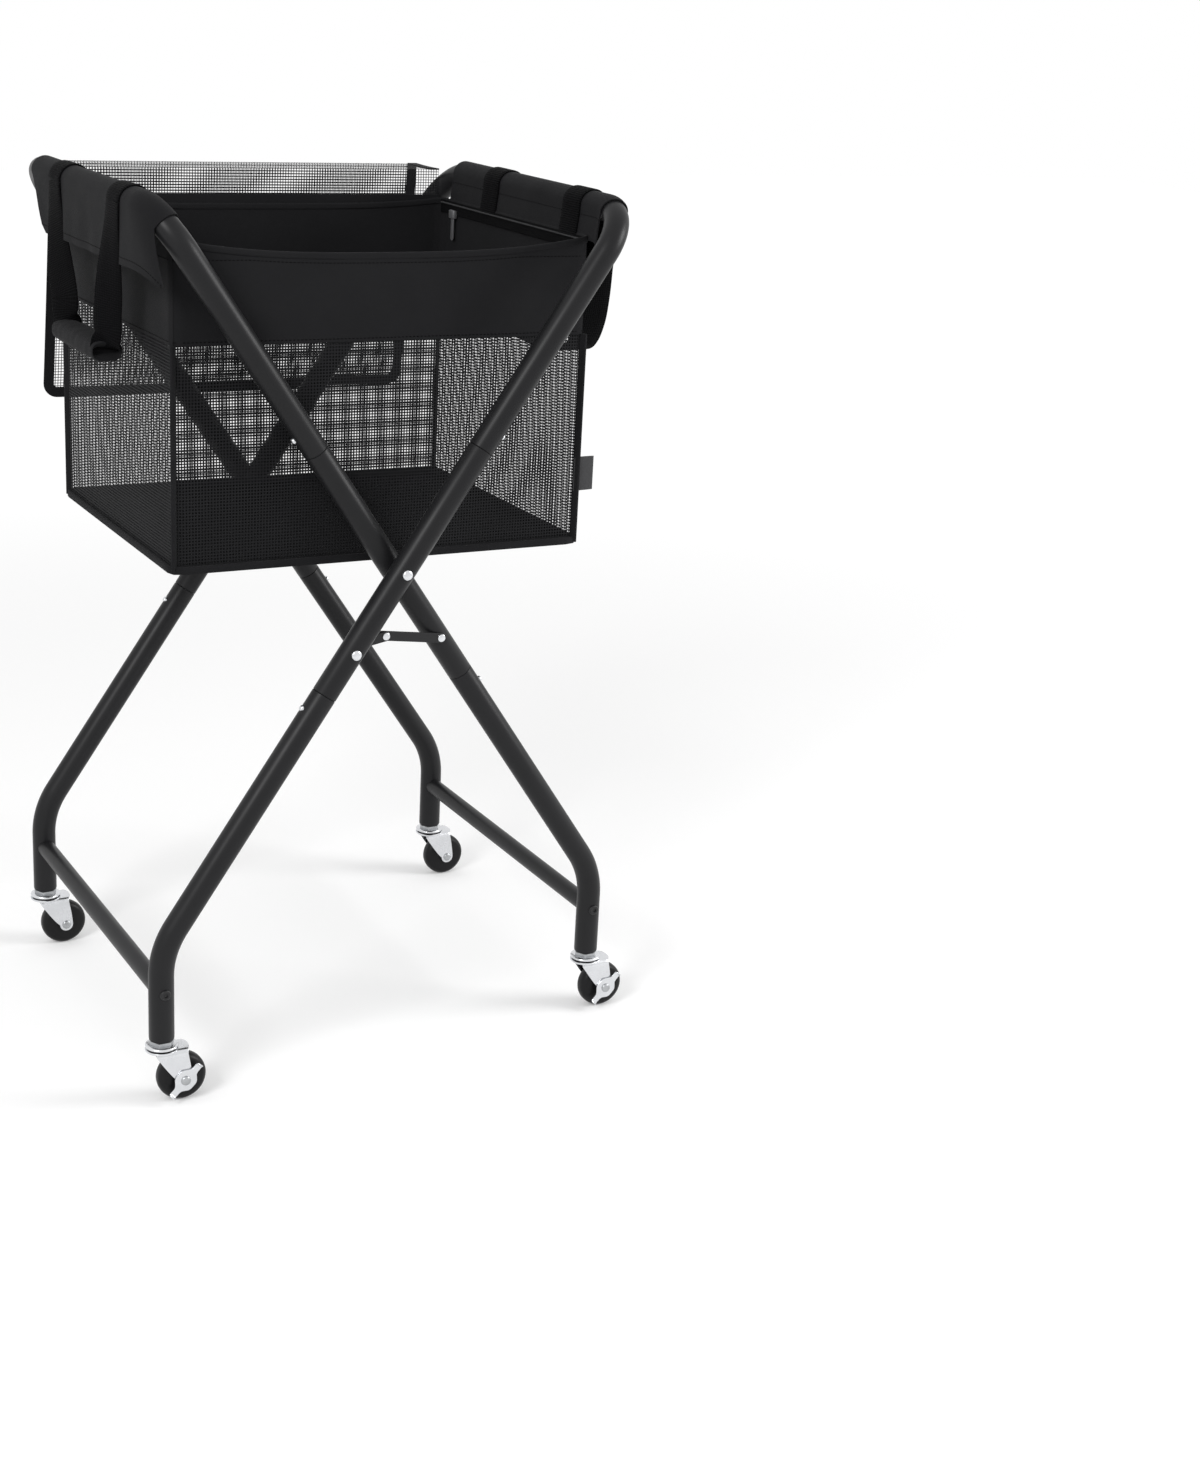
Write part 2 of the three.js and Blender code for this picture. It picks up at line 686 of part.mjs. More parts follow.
// Rounded rectangle about the bag's middle, inset from its outer face.
function bagOutline(inset) {
  const radius = bagCornerRadius - inset;
  const corners = [
    [1, 1, 0],
    [-1, 1, 1],
    [-1, -1, 2],
    [1, -1, 3],
  ];
  const points = corners.flatMap(([sx, sy, quarter]) =>
    Array.from({ length: bagCornerSteps + 1 }, (_, i) => {
      const angle = (quarter + i / bagCornerSteps) * (Math.PI / 2);
      const cx = sx * (bagHalfWidth - bagCornerRadius);
      const cy = sy * (bagHalfDepth - bagCornerRadius);
      return new THREE.Vector2(cx + radius * Math.cos(angle), cy + radius * Math.sin(angle));
    }),
  );
  return new THREE.Shape(points);
}

// Openings that stand for the mesh: a plain grid of bars, each through two opposite walls.
function meshBars(columns, span, barBetween) {
  const low = bagBottomHeight + meshFoot;
  const rowPitch = (bagRimHeight - bandHeight - low) / meshRows;
  const columnPitch = (2 * span) / columns;
  const bars = [];
  for (let column = 0; column < columns; column += 1) {
    const middle = (column + halfStepShare) * columnPitch - span;
    const reach = (columnPitch * meshOpenShare) / 2;
    for (let row = 0; row < meshRows; row += 1) {
      const height = low + (row + halfStepShare) * rowPitch;
      const rise = (rowPitch * meshOpenShare) / 2;
      bars.push(barBetween(middle - reach, middle + reach, height - rise, height + rise));
    }
  }
  return bars;
}

// Bag: a floor and four walls round an open top, with openings below the solid band.
function bagBody() {
  const depth = bagRimHeight - bagBottomHeight;
  const outer = new THREE.ExtrudeGeometry(bagOutline(0), { depth, bevelEnabled: false });
  const inner = new THREE.ExtrudeGeometry(bagOutline(bagWall), { depth, bevelEnabled: false });
  const walls = solidOf(outer).subtract(solidOf(inner).translate([0, 0, bagWall]));
  const reachX = bagHalfWidth + overrun;
  const reachY = bagHalfDepth + overrun;
  const throughFront = (from, to, low, high) => block(at(from, -reachY, low), at(to, reachY, high));
  const throughSide = (from, to, low, high) => block(at(-reachX, from, low), at(reachX, to, high));
  return cut(
    walls.translate([0, 0, bagBottomHeight]),
    ...meshBars(meshWideColumns, bagHalfWidth - bagCornerRadius, throughFront),
    ...meshBars(meshDeepColumns, bagHalfDepth - bagCornerRadius, throughSide),
  );
}

// Arc about the bar, from the inner side over the top to the outer side, as [x, z] from its axis.
function overBar(radius, steps) {
  return Array.from({ length: steps + 1 }, (_, i) => {
    const angle = (i / steps) * Math.PI;
    return [-radius * Math.cos(angle), radius * Math.sin(angle)];
  });
}

// Side flap: goes up from the bag's rim, over the bar and down outside, with two sewn-on webbing
// bands. It is drawn for the right bar and mirrored for the left one.
function sideFlap(side, yLow, yHigh, bandCentres) {
  const rim = bagRimHeight + foldGap;
  const shift = ([x, z]) => [barHalfSpan + x, barHeight + z];
  const outer = overBar(flapOuter, flapSteps).map(shift);
  const inner = overBar(flapInner, flapSteps).map(shift).reverse();
  const low = barHeight - flapDrop;
  const outline = [
    [bagHalfWidth - flapSheet, rim],
    ...outer,
    [barHalfSpan + flapOuter, low],
    [barHalfSpan + flapInner, low],
    ...inner,
    [bagHalfWidth, rim],
  ];
  const bandOutline = [
    [barHalfSpan - webOuter, barHeight - webInnerDrop],
    ...overBar(webOuter, webSteps).map(shift),
    ...overBar(flapOuter - foldGap, webSteps).map(shift).reverse(),
    [barHalfSpan - flapOuter - foldGap, barHeight - webInnerDrop],
  ];
  const sheet = plateXZ([...outline].reverse(), yLow, yHigh);
  const bands = bandCentres.map((y) =>
    plateXZ([...bandOutline].reverse(), y - webWidth / 2, y + webWidth / 2),
  );
  const whole = join(sheet, ...bands);
  return side > 0 ? whole : whole.mirror([1, 0, 0]);
}

// Hanging loop of a handle, drawn on the right side and mirrored for the left one.
function handleLoop(side, front, back, lean, drop) {
  const inner = barHalfSpan + flapOuter + seatGap;
  const outer = inner + webThick;
  const top = barHeight - handleSwingGap;
  const low = barHeight - drop;
  const half = webWidth / 2;
  const strip = (y) => {
    const shape = new THREE.Shape(
      [
        [y - half, top],
        [y + lean - half, low],
        [y + lean + half, low],
        [y + half, top],
      ].map(([across, up]) => new THREE.Vector2(across, up)),
    );
    const plate = new THREE.ExtrudeGeometry(shape, { depth: webThick, bevelEnabled: false });
    plate.rotateX(Math.PI / 2);
    plate.rotateZ(Math.PI / 2);
    plate.translate(inner, 0, 0);
    return solidOf(plate);
  };
  const middle = (inner + outer) / 2;
  const run = block(
    at(middle - handleRunWidth / 2, front + lean - half, low),
    at(middle + handleRunWidth / 2, back + lean + half, low + webThick),
  );
  const whole = join(strip(front), strip(back), run);
  return side > 0 ? whole : whole.mirror([1, 0, 0]);
}

// Padded grip: a rounded sleeve open at both ends, round the bottom run of the left handle.
function gripSleeve() {
  const x = -(barHalfSpan + flapOuter + seatGap + webThick / 2);
  const z = barHeight - leftHandleDrop + webThick / 2;
  const middle = (leftHandleFront + leftHandleBack) / 2 + leftHandleLean;
  const rounded = (halfWidth, halfHeight, radius) => {
    const corners = [
      [1, 1, 0],
      [-1, 1, 1],
      [-1, -1, 2],
      [1, -1, 3],
    ];
    return corners.flatMap(([sx, sz, quarter]) =>
      Array.from({ length: bagCornerSteps + 1 }, (_, i) => {
        const angle = (quarter + i / bagCornerSteps) * (Math.PI / 2);
        const px = x + sx * (halfWidth - radius) + radius * Math.cos(angle);
        const pz = z + sz * (halfHeight - radius) + radius * Math.sin(angle);
        return [px, pz];
      }),
    );
  };
  const outline = rounded(gripWidth / 2, gripHeight / 2, gripRound);
  const halfLength = gripLength / 2;
  const sleeve = plateXZ(outline, middle - halfLength, middle + halfLength);
  const slotHalf = handleRunWidth / 2 + slipGap;
  const slot = block(
    at(x - slotHalf, middle - halfLength - overrun, z - webThick / 2 - slipGap),
    at(x + slotHalf, middle + halfLength + overrun, z + webThick / 2 + slipGap),
  );
  return cut(sleeve, slot);
}

// Lid, thrown open: a riser from the back rim, a shelf across the back legs, and the hanging panel.
const lidAxisY = bagHalfDepth + lidSheet / 2 + lidClearance / 2;
const lidAxisZ = bagRimHeight + lidSheet / 2 + lidClearance;
const lidRise = bagRimDrop + lidOverBar;
const lidTopZ = lidAxisZ + lidRise;
const lidBackY = -outerLegY + tubeRadius + lidLegGap;
const lidShelf = lidBackY - lidAxisY;
const lidHang = 2 * bagHalfDepth - lidRise - lidShelf;

function lidPieces() {
  const half = lidSheet / 2;
  const wide = bagHalfWidth - lidSideInset;
  const fold = half + foldGap;
  return {
    lid_riser: block(
      at(-wide, lidAxisY - half, lidAxisZ - half),
      at(wide, lidAxisY + half, lidTopZ - fold),
    ),
    lid_shelf: block(
      at(-wide, lidAxisY - half, lidTopZ - half),
      at(wide, lidBackY - fold, lidTopZ + half),
    ),
    lid_panel: block(
      at(-wide, lidBackY - half, lidTopZ - lidHang),
      at(wide, lidBackY + half, lidTopZ + half),
    ),
  };
}

// Zip slider with its pull, parked at the back end of a side rim, inside the wall.
function zipSlider(side) {
  const wallFace = bagHalfWidth - bagWall - seatGap;
  const inner = wallFace - sliderWidth;
  const y = bagHalfDepth - sliderFromBack;
  const top = bagRimHeight - sliderDrop;
  const low = top - sliderHeight;
  const pullX = inner + sliderWidth / 2;
  const body = block(at(inner, y - sliderLength, low), at(wallFace, y, top));
  const pullBase = at(pullX - pullThick / 2, y - sliderLength / 2 - pullWidth / 2, low - pullLength);
  const pullTop = at(pullX + pullThick / 2, y - sliderLength / 2 + pullWidth / 2, low + pullThick);
  const whole = join(body, block(pullBase, pullTop));
  return side > 0 ? whole : whole.mirror([1, 0, 0]);
}

// Blank cloth tab sewn into the front right seam.
function seamTab() {
  const x = bagHalfWidth + seatGap;
  const y = -bagHalfDepth + tabFromFront + bagCornerRadius;
  const low = bagBottomHeight + tabRise;
  return block(at(x, y, low), at(x + tabWidth, y + tabThick, low + tabHeight));
}

const cart = new THREE.Group();
cart.add(buildFrame("b", 0, "front", "back"));
cart.add(buildFrame("a", Math.PI, "back", "front"));
cart.add(buildCaster("b_front", -footHalfSpan, outerLegY, true));
cart.add(buildCaster("b_back", -footHalfSpan, innerLegY, false));
cart.add(buildCaster("a_front", footHalfSpan, -innerLegY, true));
cart.add(buildCaster("a_back", footHalfSpan, -outerLegY, false));

const straightFrom = barBendRadius - flapBendOverlap;
const rightFlapFrom = outerLegY + straightFrom;
const rightFlapTo = innerLegY - straightFrom;
addMesh(cart, "bag_body", bagBody(), "mesh");
addMesh(
  cart,
  "side_flap_right",
  sideFlap(1, rightFlapFrom, rightFlapTo, [rightHandleFront, rightHandleBack]),
  "oxford",
);
addMesh(
  cart,
  "side_flap_left",
  sideFlap(-1, -rightFlapTo, -rightFlapFrom, [leftHandleFront, leftHandleBack]),
  "oxford",
);
const rightLoop = [rightHandleFront, rightHandleBack, rightHandleLean, rightHandleDrop];
const leftLoop = [leftHandleFront, leftHandleBack, leftHandleLean, leftHandleDrop];
addMesh(cart, "handle_right", handleLoop(1, ...rightLoop), "webbing");
addMesh(cart, "handle_left", handleLoop(-1, ...leftLoop), "webbing");
addMesh(cart, "handle_grip", gripSleeve(), "grip");
for (const [name, solid] of Object.entries(lidPieces())) addMesh(cart, name, solid, "mesh");
addMesh(cart, "zip_slider_left", zipSlider(-1), "zip");
addMesh(cart, "zip_slider_right", zipSlider(1), "zip");
addMesh(cart, "seam_tab", seamTab(), "label");

// The whole part is moved so that its origin lies on the floor under the middle of its bounds.
const bounds = new THREE.Box3().setFromObject(cart, true);
const middle = bounds.getCenter(new THREE.Vector3());
cart.position.set(-middle.x, -middle.y, -bounds.min.z);

export default cart;
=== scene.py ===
"""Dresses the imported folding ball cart: smooth tubes, zinc casters and a sewn mesh bag over the CAD frame."""

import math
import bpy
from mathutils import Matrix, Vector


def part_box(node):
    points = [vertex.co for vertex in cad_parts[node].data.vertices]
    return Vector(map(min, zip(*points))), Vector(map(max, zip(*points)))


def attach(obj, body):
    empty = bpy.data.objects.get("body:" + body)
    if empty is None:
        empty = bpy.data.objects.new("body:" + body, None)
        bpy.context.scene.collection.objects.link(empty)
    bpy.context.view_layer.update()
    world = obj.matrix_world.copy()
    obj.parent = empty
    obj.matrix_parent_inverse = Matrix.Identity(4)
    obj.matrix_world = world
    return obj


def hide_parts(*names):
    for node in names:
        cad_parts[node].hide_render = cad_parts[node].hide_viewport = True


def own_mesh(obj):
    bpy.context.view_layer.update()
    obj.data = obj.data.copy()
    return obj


bl_info = {
    "name": "Folding ball cart",
    "version": (1, 0, 0),
    "blender": (4, 5, 0),
    "location": "View3D > Sidebar > Ball cart",
    "description": "Makes the tubes, casters and mesh bag of a folding ball cart",
    "category": "Add Mesh",
}

import bpy
import numpy as np
from bpy.props import FloatProperty, FloatVectorProperty, IntProperty, PointerProperty
from mathutils import Matrix, Vector

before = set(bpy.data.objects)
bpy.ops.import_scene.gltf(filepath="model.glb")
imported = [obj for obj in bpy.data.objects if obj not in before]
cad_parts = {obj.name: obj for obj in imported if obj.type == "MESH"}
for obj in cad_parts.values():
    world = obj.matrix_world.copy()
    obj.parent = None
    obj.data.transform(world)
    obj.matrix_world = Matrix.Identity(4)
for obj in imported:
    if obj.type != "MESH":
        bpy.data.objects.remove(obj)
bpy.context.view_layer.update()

MM = 0.001
TURN = 2 * math.pi
SIDES = ("front", "back")
X, Y, Z = Vector((1, 0, 0)), Vector((0, 1, 0)), Vector((0, 0, 1))


def middle_of(node):
    low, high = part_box(node)
    return (low + high) / 2


# Places of the frame, read from the CAD. CENTRE lies half way between the two pivots.
CENTRE = (middle_of("pivot_rivet_front") + middle_of("pivot_rivet_back")) / 2
PIVOT_Z = CENTRE.z
TUBE = (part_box("middle_tube_b_front")[1].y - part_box("middle_tube_b_front")[0].y) / 2
OUTER_Y = middle_of("middle_tube_b_front").y - CENTRE.y
INNER_Y = middle_of("middle_tube_b_back").y - CENTRE.y
BAR_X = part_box("loop_tube_b")[1].x - CENTRE.x - TUBE
BAR_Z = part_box("loop_tube_b")[1].z - TUBE
FOOT_X = middle_of("spreader_a").x - CENTRE.x
SPREADER_Z = middle_of("spreader_a").z
LEG_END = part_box("leg_tube_b_front")[0].z
AXLE = middle_of("caster_wheel_a_back")
TRAIL = AXLE.x - CENTRE.x - FOOT_X
LEAN = math.atan2(BAR_X, BAR_Z - PIVOT_Z)
KNEE_Z = PIVOT_Z - FOOT_X / math.tan(LEAN)
UP = Vector((math.sin(LEAN), 0, math.cos(LEAN)))
BAG_LOW, BAG_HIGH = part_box("bag_body")
RIM_Z = BAG_HIGH.z
FLOOR_Z = BAG_LOW.z


def at(x, y, z):
    """A point measured from the cart's middle line, in the row's frame, in metres."""
    return Vector((CENTRE.x + x, CENTRE.y + y, z))


def length_setting(label, size, meaning):
    """A setting for a length, with its default in mm."""
    return FloatProperty(name=label, default=size * MM, unit="LENGTH", description=meaning)


def colour_setting(label, default, meaning):
    """A setting for a colour."""
    return FloatVectorProperty(name=label, default=default, subtype="COLOR", description=meaning)


class TubeSizes(bpy.types.PropertyGroup):
    radius: length_setting("Tube radius", 12.7, "Outer radius of the frame tube")
    spreader: length_setting("Spreader radius", 9.5, "Outer radius of the spreaders")
    bar_bend: length_setting("Bar bend", 45, "Bend radius at the top bars' corners")
    knee_bend: length_setting("Knee bend", 90, "Bend radius of the legs above the casters")
    splice: length_setting("Splice", 143, "From a pivot to the tubes' joint line")
    lip: length_setting("Lip", 0.9, "Rounding at the cut end of a tube")
    foot_lip: length_setting("Foot lip", 2.2, "Rounding at the foot of a leg")
    sides: IntProperty(name="Sides", default=40, min=8, description="Flats round a tube")
    coat: colour_setting("Coat", (0.0125, 0.0125, 0.0135), "Colour of the powder coat")
    steel: colour_setting("Blackened steel", (0.009, 0.009, 0.01), "Colour of brace, bolts and collars")
    rivet_head: length_setting("Rivet head", 5.3, "Radius of the domed rivet heads")


class CasterSizes(bpy.types.PropertyGroup):
    wheel: length_setting("Wheel radius", 25.15, "Radius of the wheel's tread")
    width: length_setting("Wheel width", 21, "Width of the wheel across its tread")
    sheet: length_setting("Fork sheet", 2.2, "Thickness of the pressed fork")
    cheek: length_setting("Cheek", 13.2, "From a fork cheek to the wheel's middle")
    crown: length_setting("Crown reach", 27, "From the stem to the crown's round end")
    lever: length_setting("Lever length", 47, "Brake lever from tip to tip")
    zinc: colour_setting("Zinc", (0.68, 0.69, 0.71), "Colour of the plated steel")
    # The nuts and axles are painted a darker zinc than the rest: painted shade that stands in for darker
    # reflections on them. They are also rougher.
    nut: colour_setting("Nut", (0.4, 0.41, 0.42), "Colour of the duller nuts and axles")
    # The wheel colour also paints the black ring that stands for the shade in the gap below each caster's race.
    rubber: colour_setting("Wheel", (0.0045, 0.0045, 0.005), "Colour of the wheels and seals")


class BagSizes(bpy.types.PropertyGroup):
    half_width: length_setting("Half width", 216, "From the bag's middle to its side wall")
    half_depth: length_setting("Half depth", 172, "From the bag's middle to its front wall")
    corner: length_setting("Corner", 7, "Radius of the upright corners")
    band: length_setting("Band height", 88, "Height of the cloth band below the rim")
    lift: length_setting("Rim lift", 8, "How far the flaps' seams hold the rim up")
    sag: length_setting("Front sag", 14, "How far the front rim hangs in the middle")
    back_sag: length_setting("Back sag", 7, "How far the back rim hangs in the middle")
    cloth: length_setting("Cloth", 1.2, "Thickness of the band and floor")
    flap: length_setting("Flap cloth", 1.4, "Thickness of the side flaps")
    pitch: length_setting("Mesh pitch", 3.1, "From one thread of the mesh to the next")
    thread: length_setting("Thread", 1.25, "Width of a thread of the bag's mesh")
    lid_thread: length_setting("Lid thread", 0.8, "Width of a thread of the lid's mesh")
    piping: length_setting("Piping", 8, "Width of the bound seams at the corners")
    stitch: length_setting("Stitch", 4, "Distance from one stitch to the next")
    lid_border: length_setting("Lid border", 11, "Width of the lid's cloth border")
    oxford: colour_setting("Cloth colour", (0.011, 0.011, 0.012), "Colour of the woven cloth")
    net: colour_setting("Mesh colour", (0.009, 0.009, 0.01), "Colour of the mesh's threads")
    webbing: colour_setting(
        "Webbing colour", (0.003, 0.003, 0.0034), "Colour of the webbing, stitches, floor and zip tape")
    label: colour_setting("Tab colour", (0.05, 0.05, 0.052), "Colour of the tab and the zip's teeth")
    zip: colour_setting("Zip colour", (0.3, 0.3, 0.31), "Colour of the zip's pulls")


class HandleSizes(bpy.types.PropertyGroup):
    width: length_setting("Webbing width", 37, "Width of the handle webbing")
    thick: length_setting("Webbing thickness", 1.7, "Thickness of the webbing")
    grip_length: length_setting("Grip length", 134, "Length of the padded grip")
    grip_width: length_setting("Grip width", 31, "Width of the padded grip")
    grip_height: length_setting("Grip height", 20, "Height of the padded grip")


class StageSettings(bpy.types.PropertyGroup):
    lens: FloatProperty(name="Lens", default=55.49, description="Focal length in mm, on a sensor 36 mm wide")
    daylight: FloatProperty(name="Daylight", default=0.68, description="Even light round the cart")
    softbox: FloatProperty(
        name="Softbox", default=50.0, unit="POWER", description="Power of the lamp above the camera's left")
    side_lamp: FloatProperty(
        name="Side lamp", default=46.0, unit="POWER", description="Power of the lamp at the right front")
    glow: FloatProperty(
        name="Floor glow", default=0.12, description="Light that the floor adds to itself in the picture")
    floor: colour_setting("Floor", (0.9, 0.9, 0.9), "Colour of the floor")


def coat_nodes(name, colour, roughness, metallic=0.0, sheen=0.0, specular=0.5):
    """A new material with its shader; the caller adds what makes the finish."""
    paint = bpy.data.materials.get(name)
    if paint:
        return paint, None
    paint = bpy.data.materials.new(name)
    paint.use_nodes = True
    shader = paint.node_tree.nodes["Principled BSDF"]
    shader.inputs["Base Color"].default_value = (*colour, 1)
    shader.inputs["Roughness"].default_value = roughness
    shader.inputs["Metallic"].default_value = metallic
    shader.inputs["Specular IOR Level"].default_value = specular
    if sheen:
        shader.inputs["Sheen Weight"].default_value = sheen
        shader.inputs["Sheen Roughness"].default_value = 0.45
    paint.diffuse_color = (*colour, 1)
    return paint, shader


def wire(tree, kind, inputs=(), **settings):
    """A new node with its settings, and its inputs set or linked by name or number."""
    node = tree.nodes.new(kind)
    for key, value in settings.items():
        setattr(node, key, value)
    for key, value in dict(inputs).items():
        socket = node.inputs[key]
        if isinstance(value, bpy.types.NodeSocket):
            tree.links.new(value, socket)
        else:
            socket.default_value = value
    return node


def sum_node(tree, operation, *values):
    return wire(tree, "ShaderNodeMath", dict(enumerate(values)), operation=operation).outputs[0]


def speckle(paint, scale, detail=3.0):
    tree = paint.node_tree
    place = wire(tree, "ShaderNodeTexCoord").outputs["Object"]
    inputs = {"Vector": place, "Scale": scale, "Detail": detail}
    return wire(tree, "ShaderNodeTexNoise", inputs).outputs["Fac"]


def spread(tree, value, low, high):
    """Maps 0..1 to low..high."""
    inputs = {"Value": value, "To Min": low, "To Max": high}
    return wire(tree, "ShaderNodeMapRange", inputs).outputs["Result"]


def roughen(paint, shader, value, low, high):
    tree = paint.node_tree
    tree.links.new(spread(tree, value, low, high), shader.inputs["Roughness"])


def emboss(paint, shader, height, strength, depth):
    inputs = {"Height": height, "Strength": strength, "Distance": depth}
    bump = wire(paint.node_tree, "ShaderNodeBump", inputs)
    paint.node_tree.links.new(bump.outputs["Normal"], shader.inputs["Normal"])


def tint(paint, shader, value, colour, low, high):
    """Colour that drifts between a darker and a lighter share of itself."""
    tree = paint.node_tree
    dark = (*[c * low for c in colour], 1)
    pale = (*[c * high for c in colour], 1)
    mix = wire(tree, "ShaderNodeMix", {0: value, 6: dark, 7: pale}, data_type="RGBA")
    tree.links.new(mix.outputs[2], shader.inputs["Base Color"])


def powder_coat(sizes):
    paint, shader = coat_nodes("powder_coat", sizes.coat, 0.38, specular=0.18)
    if shader:
        roughen(paint, shader, speckle(paint, 40, 4), 0.33, 0.43)
        emboss(paint, shader, speckle(paint, 1400, 2), 0.12, 0.15 * MM)
        tint(paint, shader, speckle(paint, 18, 2), sizes.coat, 0.85, 1.2)
    return paint


def black_steel(sizes):
    paint, shader = coat_nodes("black_steel", sizes.steel, 0.35, metallic=0.3)
    if shader:
        roughen(paint, shader, speckle(paint, 150, 4), 0.28, 0.5)
        emboss(paint, shader, speckle(paint, 900, 2), 0.1, 0.1 * MM)
    return paint


def bright_zinc(sizes):
    paint, shader = coat_nodes("bright_zinc", sizes.zinc, 0.25, metallic=1.0)
    if shader:
        roughen(paint, shader, speckle(paint, 220, 5), 0.16, 0.34)
        emboss(paint, shader, speckle(paint, 500, 3), 0.06, 0.1 * MM)
        tint(paint, shader, speckle(paint, 60, 3), sizes.zinc, 0.88, 1.1)
    return paint


# A copy of the zinc painted darker, as painted shade in its reflections, and with a rougher surface.
def dull_shaded_zinc(sizes):
    paint, shader = coat_nodes("dull_shaded_zinc", sizes.nut, 0.35, metallic=1.0)
    if shader:
        roughen(paint, shader, speckle(paint, 260, 4), 0.26, 0.46)
        emboss(paint, shader, speckle(paint, 600, 3), 0.1, 0.1 * MM)
        tint(paint, shader, speckle(paint, 90, 3), sizes.nut, 0.7, 1.35)
    return paint


def wheel_rubber(sizes):
    paint, shader = coat_nodes("wheel_rubber", sizes.rubber, 0.4, specular=0.2)
    if shader:
        roughen(paint, shader, speckle(paint, 90, 4), 0.3, 0.5)
        emboss(paint, shader, speckle(paint, 700, 3), 0.12, 0.12 * MM)
        tint(paint, shader, speckle(paint, 50, 3), sizes.rubber, 0.8, 1.5)
    return paint


def threads(paint, across, along):
    """Waves of warp and weft threads, this far apart in metres, on the piece's own cloth map."""
    tree = paint.node_tree
    cloth = wire(tree, "ShaderNodeUVMap", uv_map="cloth").outputs["UV"]
    axes = wire(tree, "ShaderNodeSeparateXYZ", {0: cloth}).outputs
    waves = []
    for axis, pitch in ((0, across), (1, along)):
        phase = sum_node(tree, "MULTIPLY", axes[axis], TURN / pitch)
        waves.append(sum_node(tree, "SINE", phase))
    return waves


def woven_cloth(sizes):
    paint, shader = coat_nodes("woven_cloth", sizes.oxford, 0.85, sheen=0.02, specular=0.1)
    if shader:
        warp, weft = threads(paint, 1.1 * MM, 1.1 * MM)
        weave = sum_node(paint.node_tree, "MULTIPLY", warp, weft)
        emboss(paint, shader, weave, 0.35, 0.2 * MM)
        roughen(paint, shader, speckle(paint, 25, 3), 0.72, 0.92)
        tint(paint, shader, speckle(paint, 9, 4), sizes.oxford, 0.75, 1.3)
    return paint


def ribbed_webbing(sizes):
    paint, shader = coat_nodes("ribbed_webbing", sizes.webbing, 0.8, sheen=0.01, specular=0.04)
    if shader:
        warp, weft = threads(paint, 2.4 * MM, 2.2 * MM)
        ribs = sum_node(paint.node_tree, "MULTIPLY_ADD", warp, 0.35, weft)
        emboss(paint, shader, ribs, 0.6, 0.5 * MM)
        # The ribs' crests are painted lighter and their grooves darker: painted shade between the ribs.
        lift = spread(paint.node_tree, ribs, 0.0, 1.0)
        tint(paint, shader, lift, sizes.webbing, 0.7, 1.6)
    return paint


def net_thread(sizes):
    paint, shader = coat_nodes("net_thread", sizes.net, 0.7, sheen=0.02, specular=0.12)
    if shader:
        emboss(paint, shader, speckle(paint, 1500, 2), 0.3, 0.1 * MM)
        tint(paint, shader, speckle(paint, 12, 3), sizes.net, 0.7, 1.5)
    return paint


def plain_label(sizes):
    paint, shader = coat_nodes("plain_label", sizes.label, 0.8, sheen=0.1, specular=0.2)
    if shader:
        ribs = threads(paint, 0.7 * MM, 0.7 * MM)[1]
        emboss(paint, shader, ribs, 0.3, 0.1 * MM)
        tint(paint, shader, speckle(paint, 120, 3), sizes.label, 0.85, 1.15)
    return paint


def zip_metal(sizes):
    paint, shader = coat_nodes("zip_metal", sizes.zip, 0.38, metallic=0.7)
    if shader:
        roughen(paint, shader, speckle(paint, 300, 4), 0.3, 0.5)
        emboss(paint, shader, speckle(paint, 600, 3), 0.08, 0.1 * MM)
    return paint


def mesh_object(name, verts, faces, uvs=None):
    mesh = bpy.data.meshes.new(name)
    mesh.from_pydata([tuple(v) for v in verts], [], faces)
    if uvs is not None:
        layer = mesh.uv_layers.new(name="cloth")
        flat = np.array([uvs[v] for face in faces for v in face], float).ravel()
        layer.data.foreach_set("uv", flat)
    piece = bpy.data.objects.new(name, mesh)
    bpy.context.scene.collection.objects.link(piece)
    return piece


def finish(piece, body, paint, slot, replaces=(), angle=40):
    """Gives a piece its material and shading and hangs it on its body."""
    piece.data.materials.clear()
    piece.data.materials.append(paint)
    piece.data.polygons.foreach_set("use_smooth", [True] * len(piece.data.polygons))
    piece.data.set_sharp_from_angle(angle=math.radians(angle))
    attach(piece, body)
    if replaces:
        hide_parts(*replaces)
    return piece


def merged(name, pieces):
    """One object of several, whose modifiers are applied first."""
    parts = []
    depsgraph = bpy.context.evaluated_depsgraph_get()
    for piece in pieces:
        parts.append(bpy.data.meshes.new_from_object(piece.evaluated_get(depsgraph)))
    verts, faces, uvs, start = [], [], [], 0
    mapped = all(part.uv_layers for part in parts)
    for part in parts:
        verts += [v.co.copy() for v in part.vertices]
        faces += [[start + i for i in face.vertices] for face in part.polygons]
        if mapped:
            uvs += [tuple(loop.uv) for loop in part.uv_layers[0].data]
        start += len(part.vertices)
    whole = mesh_object(name, verts, faces)
    if mapped:
        layer = whole.data.uv_layers.new(name="cloth")
        layer.data.foreach_set("uv", np.array(uvs, float).ravel())
    for piece in pieces:
        bpy.data.objects.remove(piece)
    return whole


def new_tree(name, inputs):
    """A node tree that makes geometry from named inputs, and the sockets that hand them over."""
    tree = bpy.data.node_groups.new(name, "GeometryNodeTree")
    for label, kind in inputs:
        tree.interface.new_socket(name=label, in_out="INPUT", socket_type="NodeSocket" + kind)
    tree.interface.new_socket(name="Geometry", in_out="OUTPUT", socket_type="NodeSocketGeometry")
    return tree, tree.nodes.new("NodeGroupInput").outputs


def close_tree(tree, geometry, paint):
    real = wire(tree, "GeometryNodeRealizeInstances", {0: geometry}).outputs[0]
    painted = wire(tree, "GeometryNodeSetMaterial", {"Geometry": real, "Material": paint}).outputs[0]
    tree.links.new(painted, tree.nodes.new("NodeGroupOutput").inputs[0])
    return tree


